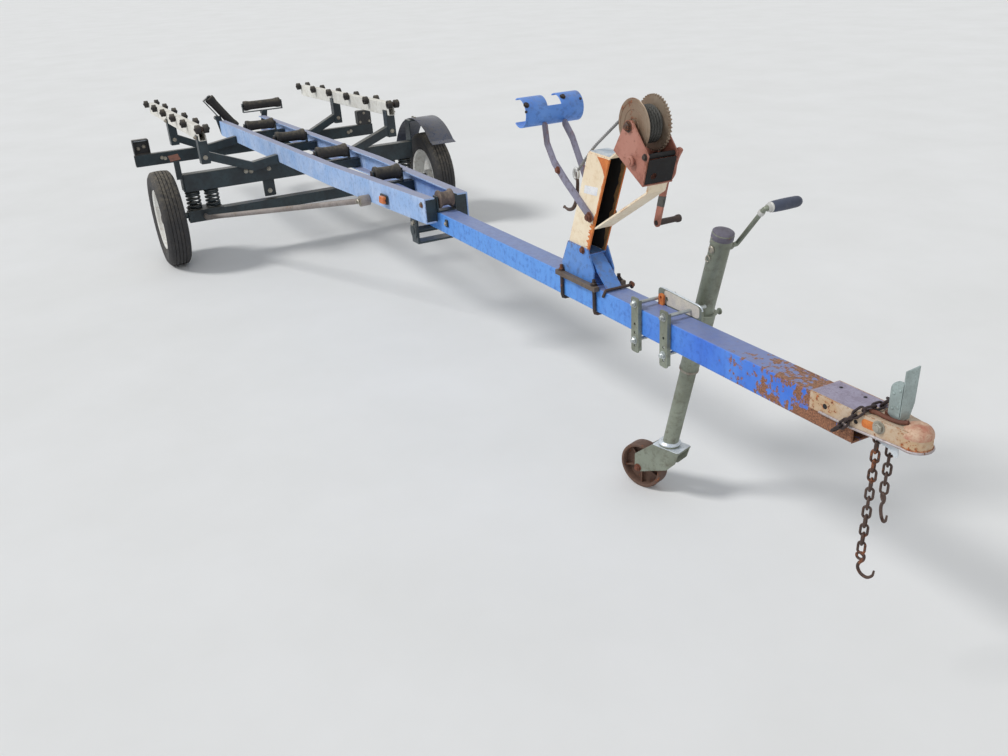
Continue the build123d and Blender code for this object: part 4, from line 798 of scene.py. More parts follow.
def bunk_rollers():
    rollers, pins = Piece(), Piece()
    step = (BUNK_FIRST - BUNK_LAST) / (BUNK_PAIRS - 1)
    for side in BOTH:
        for pair in range(BUNK_PAIRS):
            x = BUNK_LAST + step * pair
            front = pair == BUNK_PAIRS - 1
            for flank in BOTH:
                inner = (0.005 if front else BUNK_WIDTH / 2) + 0.0018
                place = facing(on(BED, x, side * BUNK_Y + flank * inner, BUNK_RISE), flank)
                rollers.turned(place, BUNK_ROLLER, 28)
                pins.turned(on(place, z=0.0262), BUNK_PIN, 16)
            if front:
                tab = facing(on(BED, x, side * BUNK_Y - 0.004, BUNK_RISE))
                pins.plate(tab, rounded(rectangle(-0.046, -0.012, 0.008, 0.012), 0.01), 0.008)
                for flank in BOTH:
                    hub = facing(on(BED, x, side * BUNK_Y, BUNK_RISE), flank)
                    pins.disc(hub, 0.008, 0.0068, 16)
    rollers.done("bunk_roller_set", "roller_black", "roller_black", ["bunk_rollers"], crease=50)
    pins.done("bunk_roller_pins", "bolt_dark", "rod_grey")


turning_rollers()
bunk_rollers()


# Safety chains

LINK_LENGTH, LINK_WIDTH, LINK_WIRE, LINK_STEP = 0.035, 0.021, 0.0029, 0.0232
CHAIN_PIN, CHAIN_DROP, CHAIN_HUNG = 2.188, 0.031, 0.0097
CHAINS = [
    # y on the pin, links, how far the hook turns about the vertical
    (-0.022, 13, 0.4), (0.022, 7, -0.5),
]
CHAIN_HOOK = [(0, 0, 0.006), (0.008, 0, -0.001), (0.007, 0, -0.012), (0.0, 0, -0.022), (-0.002, 0, -0.034),
              (0.006, 0, -0.048), (0.02, 0, -0.053), (0.031, 0, -0.044), (0.0335, 0, -0.03)]
CHAIN_HOOK_WIRE, CHAIN_EYE, CHAIN_EYE_WIRE = 0.0038, 0.0085, 0.0032


def link(piece, place):
    """An oval link round a place, its length along x."""
    reach, bend = (LINK_LENGTH - LINK_WIDTH) / 2, LINK_WIDTH / 2 - LINK_WIRE
    points = []
    for k in range(20):
        angle = tau * (k + 0.5) / 20
        shift = reach if cos(angle) > 0 else -reach
        points.append(place @ Vector((shift + bend * cos(angle), bend * sin(angle), 0)))
    piece.tube(points, LINK_WIRE, 8, closed=True)


def safety_chains():
    made = Piece()
    wander = Random(4)
    for y, count, hook_turn in CHAINS:
        top = spot(TONGUE, CHAIN_PIN, y, -CHAIN_DROP)
        for number in range(count):
            lean = wander.uniform(-0.12, 0.12)
            centre = top - Vector((0, 0, CHAIN_HUNG + LINK_STEP * number))
            flat = Vector((1, 0, 0)) if number % 2 else Vector((0, 1, 0))
            flat.rotate(Matrix.Rotation(0.5 + lean, 3, "Z"))
            link(made, placed(centre, (0, 0, 1), flat))
        foot = top - Vector((0, 0, CHAIN_HUNG + LINK_STEP * count - 0.004))
        spin = Matrix.Rotation(hook_turn, 3, "Z")
        points = smooth([foot + spin @ Vector(p) for p in CHAIN_HOOK], 6)
        radii = [CHAIN_HOOK_WIRE - 0.0014 * max(k - 36, 0) / 12 for k in range(len(points))]
        made.tube(points, radii, 10)
        eye = [foot + spin @ Vector((0.0005 + CHAIN_EYE * cos(a), 0, -0.003 + CHAIN_EYE * sin(a)))
               for a in angles(16)]
        made.tube(eye, CHAIN_EYE_WIRE, 8, closed=True)
    made.done("chain_links", "hook_steel", "hook_steel", ["safety_chains"], crease=60)


safety_chains()


# Winch

DRUM, CRANK = (3.415, 1.178), (3.436, 1.094)
WINCH_NEAR, WINCH_FAR, DRUM_HALF, CRANK_HANG = 0.052, 0.042, 0.034, radians(104.6)
GEAR_TEETH, PINION_TEETH = 44, 10
WOUND_RADIUS, CORE_RADIUS, WOUND_TURNS, WOUND_STEPS = 0.05, 0.024, 5.3, 420
GEAR_LOW, GEAR_HIGH = 0.024, 0.032


def toothed(radius, teeth, addendum, dedendum, start):
    """The outline of a gear, its first tooth at the angle start."""
    outline = []
    for tooth in range(teeth):
        middle = start + tau * tooth / teeth
        for share, reach in ((-0.3, -dedendum), (-0.14, addendum), (0.14, addendum), (0.3, -dedendum)):
            angle = middle + tau * share / teeth
            outline.append(((radius + reach) * cos(angle), (radius + reach) * sin(angle)))
    return outline


def winch_drum():
    centre_span = hypot(DRUM[0] - CRANK[0], DRUM[1] - CRANK[1])
    share = GEAR_TEETH / (GEAR_TEETH + PINION_TEETH)
    gear_radius, pinion_radius = centre_span * share, centre_span * (1 - share)
    place = across(DRUM[0], 0.0, DRUM[1])
    to_crank = atan2(-(CRANK[1] - DRUM[1]), CRANK[0] - DRUM[0])
    drum = Piece()
    drum.turned(place, [
        (0.0084, -0.037), (0.018, -0.037), (0.018, -0.0384), (0.022, -0.0384), (0.0225, -0.0368),
        (0.040, -0.0368), (0.0405, -0.0376), (0.0425, -0.0376), (0.043, -0.0368), (0.058, -0.0368),
        (0.0585, -0.0378), (0.061, -0.0378), (0.0615, -0.0366), (0.0685, -0.0366), (0.07, -0.0356),
        (0.0694, -0.0342), (CORE_RADIUS, -0.034), (CORE_RADIUS, GEAR_LOW + 0.001),
        (0.0084, GEAR_LOW + 0.001),
    ], 72)
    outline = toothed(gear_radius, GEAR_TEETH, 0.0022, 0.0028, to_crank)
    drum.plate(on(place, z=GEAR_LOW), outline, GEAR_HIGH - GEAR_LOW, [circle(0.0084, 24)])
    drum.turned(on(place, z=GEAR_HIGH), [
        (0.0084, -0.001), (0.018, -0.001), (0.017, 0.006), (0.0084, 0.006),
    ], 28)
    drum.done(
        "winch_drum_and_gear", "drum_steel", "drum_steel", ["winch_drum"], crease=32, body="winch_drum")
    pinion = Piece()
    half_tooth = pi / PINION_TEETH
    outline = toothed(pinion_radius, PINION_TEETH, 0.0019, 0.0026, to_crank + pi + half_tooth)
    pinion.prism(across(CRANK[0], GEAR_LOW - 0.001, CRANK[1]), outline, 0.0, 0.010)
    pinion.done("winch_pinion", "bolt_dark", "rod_grey", crease=30, body="winch_crank")


def wound_rope():
    made = Piece()
    place = across(DRUM[0], 0.0, DRUM[1])
    half = ROPE_DIAMETER / 2
    low, high = -DRUM_HALF + half + 0.0006, GEAR_LOW - half - 0.0006
    points = []
    for k in range(WOUND_STEPS + 1):
        share = k / WOUND_STEPS
        angle = tau * WOUND_TURNS * share
        reach = WOUND_RADIUS - half
        points.append(spot(place, reach * cos(angle), reach * sin(angle), low + (high - low) * share))
    strands(made, points, half, 6)
    made.turned(place, rectangle(CORE_RADIUS + 0.0005, low - half + 0.0003,
                                 WOUND_RADIUS - 0.006, high + half - 0.0003), 48)
    made.done("rope_on_drum", "rope_dark", "rope_dark", ["wound_rope"], crease=80, body="winch_drum")


# Where the plates' insides are in y, the tie rod of the plates, and the ends of the front sheet,
# a black sheet of painted shade for the dark front of the winch frame
WINCH_INSIDE, TIE_ROD = (-0.0478, 0.0378), (3.49, 1.112)
SHADE_SHEET_LOW, SHADE_SHEET_HIGH = Vector((3.4815, 1.041)), Vector((3.5005, 1.106))
PAWL = [(3.498, 1.128), (3.516, 1.123), (3.500, 1.100), (3.491, 1.078), (3.487, 1.054), (3.472, 1.035),
        (3.457, 1.040), (3.467, 1.058), (3.469, 1.082), (3.481, 1.106)]


def winch_fittings():
    made = Piece()
    made.bolt(across(DRUM[0], -WINCH_NEAR - 0.0005, DRUM[1], RIGHT), 0.0072, shank=0.0125, turn=0.5)
    made.bolt(across(DRUM[0], WINCH_FAR + 0.0005, DRUM[1]), 0.0072, shank=0.0125, turn=0.1)
    made.bolt(across(TIE_ROD[0], -WINCH_NEAR - 0.0002, TIE_ROD[1], RIGHT), 0.0045, turn=0.2)
    made.bolt(across(TIE_ROD[0], WINCH_FAR + 0.0002, TIE_ROD[1]), 0.0045, turn=0.4)
    made.done("winch_bolts", "bolt_dark", "rod_grey")
    bush = Piece()
    bush.turned(across(CRANK[0], -WINCH_NEAR - 0.0062, CRANK[1], RIGHT), [
        (0, -0.0002), (0.0135, -0.0002), (0.0145, 0.001), (0.0145, 0.0042), (0.013, 0.0055),
        (0.0085, 0.0058), (0.0082, 0.008), (0, 0.008),
    ], 32)
    bush.done("winch_crank_bush", "winch_rust", "winch_rust", body="winch_crank")
    # A black sheet across the front between the plates is painted shade for the dark inside of the winch frame;
    # the tie rod in this piece is black too.
    box = Piece()
    face = placed((AXLE_X + SHADE_SHEET_LOW.x, 0, SHADE_SHEET_LOW.y), (0, 1, 0), Vector(
        (SHADE_SHEET_HIGH.y - SHADE_SHEET_LOW.y, 0, SHADE_SHEET_LOW.x - SHADE_SHEET_HIGH.x)))
    tall = (SHADE_SHEET_HIGH - SHADE_SHEET_LOW).length
    near, far = WINCH_INSIDE
    box.plate(face, rectangle(near, 0, far, tall), 0.003, [circle(0.009, 20, -0.024, tall * 0.3)])
    box.tube([Vector((AXLE_X + TIE_ROD[0], y, TIE_ROD[1])) for y in WINCH_INSIDE], 0.0068, 16)
    box.done("winch_front_shade_sheet", "black_and_painted_shade", "winch_rust", soft=0.0006)
    pawl = side_plate(Piece(), rounded(PAWL, 0.007), WINCH_FAR + 0.0008, 0.006)
    pawl.done("winch_pawl", "winch_rust", "winch_rust", soft=0.0012)


CRANK_REACH, GRIP_Y, ARM_END_Y, ARM_Y = 0.205, 0.0725, 0.066, 0.0656


def winch_crank_fittings():
    grip = Piece()
    end = (CRANK[0] + CRANK_REACH * cos(CRANK_HANG), CRANK[1] - CRANK_REACH * sin(CRANK_HANG))
    grip.turned(across(end[0], GRIP_Y, end[1]), [
        (0, 0), (0.0086, 0), (0.0092, 0.003), (0.0088, 0.03), (0.0085, 0.056), (0.0092, 0.06),
        (0.0108, 0.063), (0.0112, 0.0695), (0.0104, 0.0735), (0.007, 0.0755), (0, 0.0758),
    ], 28)
    grip.done("winch_crank_grip", "grip_dark", "winch_rust", body="winch_crank")
    rivet = Piece().turned(across(end[0], ARM_END_Y, end[1], RIGHT), [
        (0, -0.001), (0.0075, -0.001), (0.007, 0.0018), (0.003, 0.003), (0, 0.0031)], 20)
    rivet.done("winch_crank_rivet", "bolt_dark", "rod_grey", body="winch_crank")
    band = Piece()
    arm = across(CRANK[0], ARM_Y, CRANK[1]) @ Matrix.Rotation(CRANK_HANG, 4, "Z")
    band.plate(arm, [(0.118, -0.0123), (0.128, 0.0123), (0.158, 0.0123), (0.150, -0.0123)], 0.0068)
    band.done("winch_crank_band", "rope_dark", "winch_rust", body="winch_crank")


winch_drum()
wound_rope()
winch_fittings()
winch_crank_fittings()


# Winch post

POST_BASE, POST_FRONT, POST_SLANT = 0.768, 3.182, sin(radians(21.0)) / cos(radians(21.0))
POST_LOW, POST_HIGH, POST_INSIDE, POST_OUTSIDE, POST_DEPTH = 0.7705, 1.0678, 0.0279, 0.032, 0.1058
LINING, RAGGED_STEPS = 0.0007, 22
POST_TOP_RUST = [(3.292, 1.0682), (3.262, 1.0682), (3.236, 1.0675), (3.252, 1.052), (3.264, 1.036),
                 (3.271, 1.020), (3.277, 1.010)]
POST_PATCH = [(3.171, 0.974), (3.240, 0.980), (3.234, 0.955), (3.165, 0.950)]
POST_BOLTS = [
    # x from the axle, distance from the middle, height, side, size
    (3.163, 0.0371, 0.7775, RIGHT, 0.0055), (3.163, 0.0371, 0.7775, LEFT, 0.0055),
    (3.204, 0.0385, 0.888, RIGHT, 0.0075), (3.204, 0.0385, 0.888, LEFT, 0.0075),
    (3.031, 0.0385, 0.992, RIGHT, 0.0055), (3.041, 0.0385, 1.005, LEFT, 0.0055),
]


def post_x(z):
    """The post's front edge at a height, counted from the axle."""
    return POST_FRONT + (z - POST_BASE) * POST_SLANT


def leaning(piece, plan, low, high):
    """A column that leans with the post; its plan counts back from the front edge."""
    loops = [[Vector((AXLE_X + post_x(z) - back, y, z)) for back, y in plan] for z in (low, high)]
    return piece.skin(loops)


def ragged_band(piece, y, width, low, high, thickness, draw):
    """A band back from the post's front edge to a ragged line."""
    outline = [(post_x(low) + 0.0002, low), (post_x(high) + 0.0002, high)]
    for step in range(RAGGED_STEPS + 1):
        z = high + (low - high) * step / RAGGED_STEPS
        outline.append((post_x(z) - width * draw.uniform(0.45, 1.3), z))
    side_plate(piece, outline, y, thickness)


def winch_post_details():
    draw = Random(11)
    # A black sheet lining the post's channel: the channel's dark inside paint and the shade in the open channel,
    # painted as one.
    lining = Piece()
    rear, front, half = POST_DEPTH, 0.0008, POST_INSIDE
    leaning(lining, [
        (rear, -half), (front, -half), (front, LINING - half), (rear - LINING, LINING - half),
        (rear - LINING, half - LINING), (front, half - LINING), (front, half), (rear, half),
    ], POST_LOW, POST_HIGH)
    lining.done("post_dark_paint_and_shade", "black_and_painted_shade", "post_cream")
    far = Piece()
    ragged_band(far, half - LINING - 0.0006, 0.017, POST_LOW, POST_HIGH, 0.0006, draw)
    far.done("post_far_wall_rust", "rust_mottled", "post_cream")
    band = Piece()
    outside = POST_OUTSIDE
    ragged_band(band, -outside - 0.0004, 0.0075, POST_LOW + 0.0005, POST_HIGH, 0.0004, draw)
    ragged_band(band, -outside - 0.0008, 0.017, 0.79, 0.866, 0.0008, draw)
    side_plate(band, POST_TOP_RUST, -outside - 0.0006, 0.0006)
    for side in BOTH:
        leaning(band, [(-0.0004, side * (outside + 0.0004)), (-0.0004, side * half), (0.0006, side * half),
                       (0.0006, side * (outside + 0.0004))], POST_LOW, POST_HIGH)
    band.done("post_edge_rust", "rust_orange", "post_cream")
    roof = Piece()
    roof.block(upright(post_x(1.07) - 0.054, 0, 1.0752), 0.098, 0.0596, 0.0012)
    roof.done("post_roof_plate", "roof_pale", "post_cream")
    label = Piece()
    side_plate(label, POST_PATCH, -outside - 0.0004, 0.0004)
    label.done("post_blank_patch", "patch_white", "post_cream")
    bolts = Piece()
    for x, out, z, side, size in POST_BOLTS:
        bolts.bolt(across(x, side * out, z, side), size, shank=0.013 if size > 0.007 else 0.0, turn=0.4)
    bolts.done("post_bolts", "bolt_rusty", "rod_grey")


# Clamp of the post's seat

CLAMP_X, LEG_Y, PIN_X = (3.050, 3.236), 0.0441, 3.292
U_BOLT = [(-LEG_Y, 0.012), (-LEG_Y, -0.070), (-0.0415, -0.0795), (-0.034, -0.0822), (0.034, -0.0822),
          (0.0415, -0.0795), (LEG_Y, -0.070), (LEG_Y, 0.012)]


def tongue_spot(x, y, z):
    """A place on the tongue's top, its x counted from the axle along the tongue."""
    return on(TONGUE, x - TONGUE_X, y, z)


def seat_clamp():
    bars, rods = Piece(), Piece()
    middle = sum(CLAMP_X) / len(CLAMP_X)
    for side in BOTH:
        bars.block(tongue_spot(middle, side * 0.0475, -0.0065), 0.226, 0.018, 0.015, 0.002)
    for x in CLAMP_X:
        rods.tube([spot(tongue_spot(x, y, z)) for y, z in U_BOLT], 0.0056, 14)
        for side in BOTH:
            rods.bolt(tongue_spot(x, side * LEG_Y, 0.0085), 0.0056, shank=0.018, turn=0.4 * side)
    start, end = [spot(tongue_spot(PIN_X, y, 0.006)) for y in (-0.040, 0.050)]
    bent = [start + Vector((-0.010, -0.002, -0.022)), start + Vector((-0.002, 0, -0.004))]
    rods.tube([*bent, start, end], 0.0045, 12)
    rods.bolt(placed(end, (1, 0, 0), (0, 1, 0)), 0.0055, shank=0.010)
    bars.done("seat_clamp_bars", "bar_brown", "rod_grey", ["post_clamp"], soft=0.0012)
    rods.done("seat_clamp_u_bolts", "bolt_dark", "rod_grey")


# Jack

JACK_LEAN, JACK_FOOT_X, JACK_Y, JACK_FOOT_Z = radians(14.7), 3.408, 0.122, 0.18
JACK_CLAMP_X, CRANK_RUN, CRANK_RISE, CRANK_OUT = 3.519, 0.096, 0.119, 0.020
JACK = placed((AXLE_X + JACK_FOOT_X, JACK_Y, JACK_FOOT_Z), (cos(JACK_LEAN), 0, -sin(JACK_LEAN)),
              (sin(JACK_LEAN), 0, cos(JACK_LEAN)))
JACK_PIVOT_Z = tongue_z(JACK_CLAMP_X) - TUBE_SIDE / 2
JACK_PIVOT = (JACK_PIVOT_Z - JACK_FOOT_Z) / cos(JACK_LEAN)
JACK_TOP = JACK_PIVOT + 0.24


def jack_head():
    cap = Piece()
    cap.turned(on(JACK, z=JACK_TOP), [
        (0, 0.0303), (0, 0.0345), (0.010, 0.0342), (0.020, 0.0333), (0.0262, 0.0315), (0.0292, 0.0285),
        (0.0302, 0.024), (0.0302, 0.0125), (0.0296, 0.0115), (0.0292, 0.0115), (0.0292, 0.0303),
    ], 48)
    cap.done("jack_cap", "cap_grape", "galvanised")
    trims = Piece()
    trims.turned(on(JACK, z=JACK_PIVOT - 0.1865), [
        (0.0243, 0.0), (0.0278, 0.0), (0.0286, 0.0012), (0.0286, 0.006), (0.0278, 0.0075), (0.0276, 0.0075),
    ], 40)
    near = facing(on(JACK, y=-0.0270, z=JACK_TOP - 0.017), RIGHT)
    trims.turned(near, [
        (0, 0), (0.0105, 0), (0.0105, 0.0022), (0.0085, 0.0042), (0.0052, 0.0046), (0.0052, 0.003),
        (0, 0.003),
    ], 24)
    curl = spot(JACK, -0.003, -0.0292, JACK_TOP - 0.046)
    ring = [curl + Vector((0.0085 * cos(a), -0.0012 * sin(2 * a), 0.0085 * sin(a)))
            for a in angles(20)[:17]]
    trims.tube(ring, 0.0019, 8)
    for height in (JACK_TOP + 0.006, JACK_TOP + 0.016):
        trims.turned(facing(on(JACK, x=-0.006, y=-0.0292, z=height), RIGHT), [
            (0, 0), (0.0024, 0), (0.002, 0.0012), (0, 0.0016)], 12)
    trims.done("jack_trims", "bolt_zinc", "galvanised")


def jack_crank():
    boss = spot(JACK, 0, 0.0246, JACK_TOP - 0.018)
    out, lift = Vector((0, 1, 0)), Vector((CRANK_RUN, 0, CRANK_RISE))
    head = lift.normalized()
    elbow = boss + out * (0.0123 + CRANK_OUT)
    far = elbow + lift
    line = [
        boss + out * 0.0118, boss + out * 0.021, elbow - out * 0.003 + head * 0.003, elbow + head * 0.014,
        far - head * 0.018, far - head * 0.005 + out * 0.002, far + out * 0.009, far + out * 0.02,
    ]
    bar = Piece().tube(smooth(line, 6), 0.0066, 14)
    bar.turned(placed(boss + out * 0.011, (1, 0, 0), out), [
        (0, 0), (0.010, 0), (0.0105, 0.003), (0.0092, 0.006), (0, 0.006)], 24)
    bar.done("jack_crank_bar", "galvanised", "galvanised", ["jack_crank"], crease=50)
    fitting = Piece()
    fitting.turned(placed(far + out * 0.008, (1, 0, 0), out), [
        (0, 0), (0.0098, 0), (0.0105, 0.002), (0.0105, 0.008), (0.0135, 0.0095), (0.0135, 0.0125),
        (0, 0.0125),
    ], 28)
    fitting.turned(placed(far - head * 0.024, out, head), [
        (0, 0), (0.0085, 0), (0.0092, 0.003), (0.0092, 0.009), (0.0082, 0.012), (0, 0.012)], 24)
    fitting.done("jack_crank_fittings", "thimble_pale", "galvanised", crease=50)
    grip = Piece().turned(placed(far + out * 0.020, (1, 0, 0), out), [
        (0, 0), (0.0122, 0), (0.0140, 0.002), (0.0149, 0.012), (0.0154, 0.035), (0.0153, 0.060),
        (0.0148, 0.082), (0.0136, 0.0905), (0.0105, 0.0960), (0.005, 0.0982), (0, 0.0984),
    ], 36)
    grip.done("jack_grip", "grip_slate", "galvanised", crease=60)


STRAP_X, ROD_RISES, STRAP_HOLES = (-0.066, 0.066), (0.016, -0.0922), (-0.044, -0.070, -0.108)
FAR_FACE, STRAP_FACE, LUG = 0.0384, -0.0464, (3.466, 0.720)
BACK_PLATE = [(-0.078, -0.044), (-0.045, -0.044), (0.112, -0.036), (0.112, 0.1062), (-0.078, 0.1062)]
WORN_PANEL = [(-0.050, -0.0415), (-0.03, -0.0415), (0.103, -0.0345), (0.103, -0.001), (-0.050, -0.001)]
BRIGHT_EDGE = [(-0.074, 0.032), (-0.066, 0.0425), (-0.045, 0.0435), (0.092, 0.0366), (0.106, 0.0335),
               (0.1105, 0.024)]
PLATE_HOLE = circle(0.006, 18, -0.038, -0.018)


def jack_clamp():
    plates, rods = Piece(), Piece()
    back = facing(tongue_spot(JACK_CLAMP_X, FAR_FACE, 0))
    plates.plate(back, rounded(BACK_PLATE, 0.014), 0.007, [PLATE_HOLE])
    for x in STRAP_X:
        web = facing(tongue_spot(JACK_CLAMP_X + x, STRAP_FACE, 0), RIGHT)
        outline = rounded(rectangle(-0.017, -0.1282, 0.017, 0.034), 0.008)
        plates.plate(web, outline, 0.004, [circle(0.0042, 14, 0.0, z) for z in STRAP_HOLES])
        for edge in (-0.0155, 0.0155):
            foot = tongue_spot(JACK_CLAMP_X + x + edge, -0.0424, -0.1215)
            plates.block(foot, 0.003, 0.008, 0.1485, 0.0004)
        for z in ROD_RISES:
            reach = 0.088 if z > 0 else 0.062
            start, end = [spot(tongue_spot(JACK_CLAMP_X + x, y, z)) for y in (-0.050, reach)]
            rods.tube([start, end], 0.0051, 14)
            for y, side, shank, turn in (-0.0504, RIGHT, 0.012, x * 6), (0.0454, LEFT, 0.0, x * 9):
                face = placed(spot(tongue_spot(JACK_CLAMP_X + x, y, z)), (1, 0, 0), (0, side, 0))
                rods.bolt(face, 0.0056, shank, turn)
    plates.done("jack_clamp_plates", "galvanised", "galvanised", ["jack_clamp"], soft=0.0007)
    rods.done("jack_clamp_rods", "rod_bright", "galvanised")
    panel = Piece()
    inner = facing(tongue_spot(JACK_CLAMP_X, FAR_FACE - 0.0005, 0))
    panel.plate(inner, rounded(WORN_PANEL, 0.012, 6), 0.0005, [PLATE_HOLE])
    panel.done("jack_clamp_worn_face", "plate_cream", "galvanised")
    edge = Piece()
    line = [spot(tongue_spot(JACK_CLAMP_X + x, FAR_FACE + 0.0035, z)) for x, z in BRIGHT_EDGE]
    edge.tube(line, 0.0032, 10)
    edge.done("jack_clamp_bright_edge", "edge_white", "galvanised")
    hub = Piece()
    hub_x = JACK_FOOT_X + JACK_PIVOT * sin(JACK_LEAN)
    hub.turned(across(hub_x, FAR_FACE + 0.007, JACK_PIVOT_Z), [
        (0, 0), (0.040, 0), (0.040, 0.005), (0.0315, 0.0065), (0.030, 0.009), (0.030, 0.046), (0, 0.046),
    ], 40)
    hub.turned(on(JACK, z=JACK_PIVOT - 0.022), [
        (0.0278, 0), (0.0335, 0), (0.0348, 0.0015), (0.0348, 0.0425), (0.0335, 0.044), (0.0278, 0.044)], 48)
    pull = facing(on(JACK, x=0.0, y=0.034, z=JACK_PIVOT + 0.004))
    hub.turned(pull, [
        (0, 0), (0.009, 0), (0.009, 0.010), (0.0055, 0.012), (0.0055, 0.022), (0.0095, 0.0235),
        (0.0095, 0.0275), (0, 0.0285),
    ], 22)
    hub.done("jack_swivel", "galvanised", "galvanised")
    lug = Piece()
    x, top = LUG
    outline = rounded([(x - 0.011, 0.684), (x + 0.011, 0.6845), (x + 0.011, top), (x - 0.011, top)], 0.009)
    side_plate(lug, outline, 0.027, 0.006, [circle(0.0045, 14, x, top - 0.011)])
    lug.done("tongue_lug", "rust_orange", "rod_grey")


# Caster

CASTER_HALF, CASTER_SPOKES, CASTER_TURN = 0.023, 5, radians(18.0)


def facing_along(place, flank):
    """The same place, or the one that looks the other way along its z."""
    return place if flank == LEFT else place @ Matrix.Rotation(pi, 4, "X")


def caster():
    place = at_joint("caster_wheel_spin")
    wheel = Piece()
    half = CASTER_HALF
    wheel.turned(place, [
        (0.0672, -half), (0.0738, -half), (0.0757, 0.0025 - half), (0.0762, 0.006 - half),
        (0.0762, half - 0.006), (0.0757, half - 0.0025), (0.0738, half), (0.0672, half),
        (0.0648, half - 0.004), (0.0636, 0.006), (0.0636, -0.006), (0.0648, 0.004 - half),
    ], 64)
    wheel.turned(place, [(0.0063, -0.0028), (0.065, -0.0018), (0.065, 0.0018), (0.0063, 0.0028)], 64)
    wheel.turned(place, [
        (0.0063, -half), (0.0150, -half), (0.0178, 0.003 - half), (0.0195, 0), (0.0178, half - 0.003),
        (0.0150, half), (0.0063, half)], 32)
    for flank in BOTH:
        for spoke in range(CASTER_SPOKES):
            turn = Matrix.Rotation(tau * (spoke + 0.25 * flank) / CASTER_SPOKES, 4, "Z")
            middle = on(facing_along(place, flank) @ turn, 0.0405)
            wheel.prism(middle, oblong(0.05, 0.0042, 0.001), 0.001, 0.0145)
    wheel.done("caster_cast_wheel", "caster_rust", "caster_rust", ["caster_wheel"], crease=40,
               soft=0.0006, body="caster_wheel")
    nuts = Piece()
    for flank in BOTH:
        nuts.bolt(on(facing_along(place, flank), z=0.0341), 0.0062, shank=0.0115, turn=0.4)
    nuts.done("caster_axle_nuts", "bolt_rusty", "rod_grey", body="caster_fork")
    top = Piece()
    head = Vector((cos(CASTER_TURN), sin(CASTER_TURN), 0))
    outline = rounded(rectangle(-0.042, -0.034, 0.054, 0.034), 0.006)
    top.plate(placed(JACK.translation + Vector((0, 0, 0.0002)), head, (0, 0, 1)), outline, 0.0016)
    top.done("caster_top_plate", "edge_white", "galvanised", soft=0.0006, body="caster_fork")
    race = Piece().turned(placed(JACK.translation, (1, 0, 0), (0, 0, 1)), [
        (0, 0.0075), (0.0325, 0.0075), (0.0345, 0.009), (0.0345, 0.0125), (0.0325, 0.0145),
        (0.0285, 0.0185), (0, 0.0185),
    ], 44)
    race.done("caster_race", "edge_white", "galvanised", body="jack_leg")


# Coupler

BALL_STATION, COUPLER_REAR, TONGUE_END = 2.263, 2.0155, 2.1353
COUPLER_HALF, NOSE_HALF, COUPLER_UNDER, COUPLER_TOP = 0.0434, 0.029, -0.037, 0.0053
HEAD_RADIUS, CROWN_TOP, CROWN_ROUND, EDGE_REACH, SHEET = 0.031, 0.0143, 0.022, 0.0325, 0.0006


def coupler_half(station):
    """Half the coupler's width at a station along the tongue."""
    share = min(max((station - TONGUE_END) / (BALL_STATION - TONGUE_END), 0.0), 1.0)
    return COUPLER_HALF + (NOSE_HALF - COUPLER_HALF) * share


def coupler_side(station, z, side=RIGHT, out=0.0):
    """A place on the coupler's side, facing out."""
    lean = (COUPLER_HALF - NOSE_HALF) / (BALL_STATION - TONGUE_END) if station > TONGUE_END else 0.0
    along = TONGUE.col[0].to_3d()
    foot = spot(TONGUE, station, side * (coupler_half(station) + out), z)
    return placed(foot, along, along * lean + Vector((0, side, 0)))


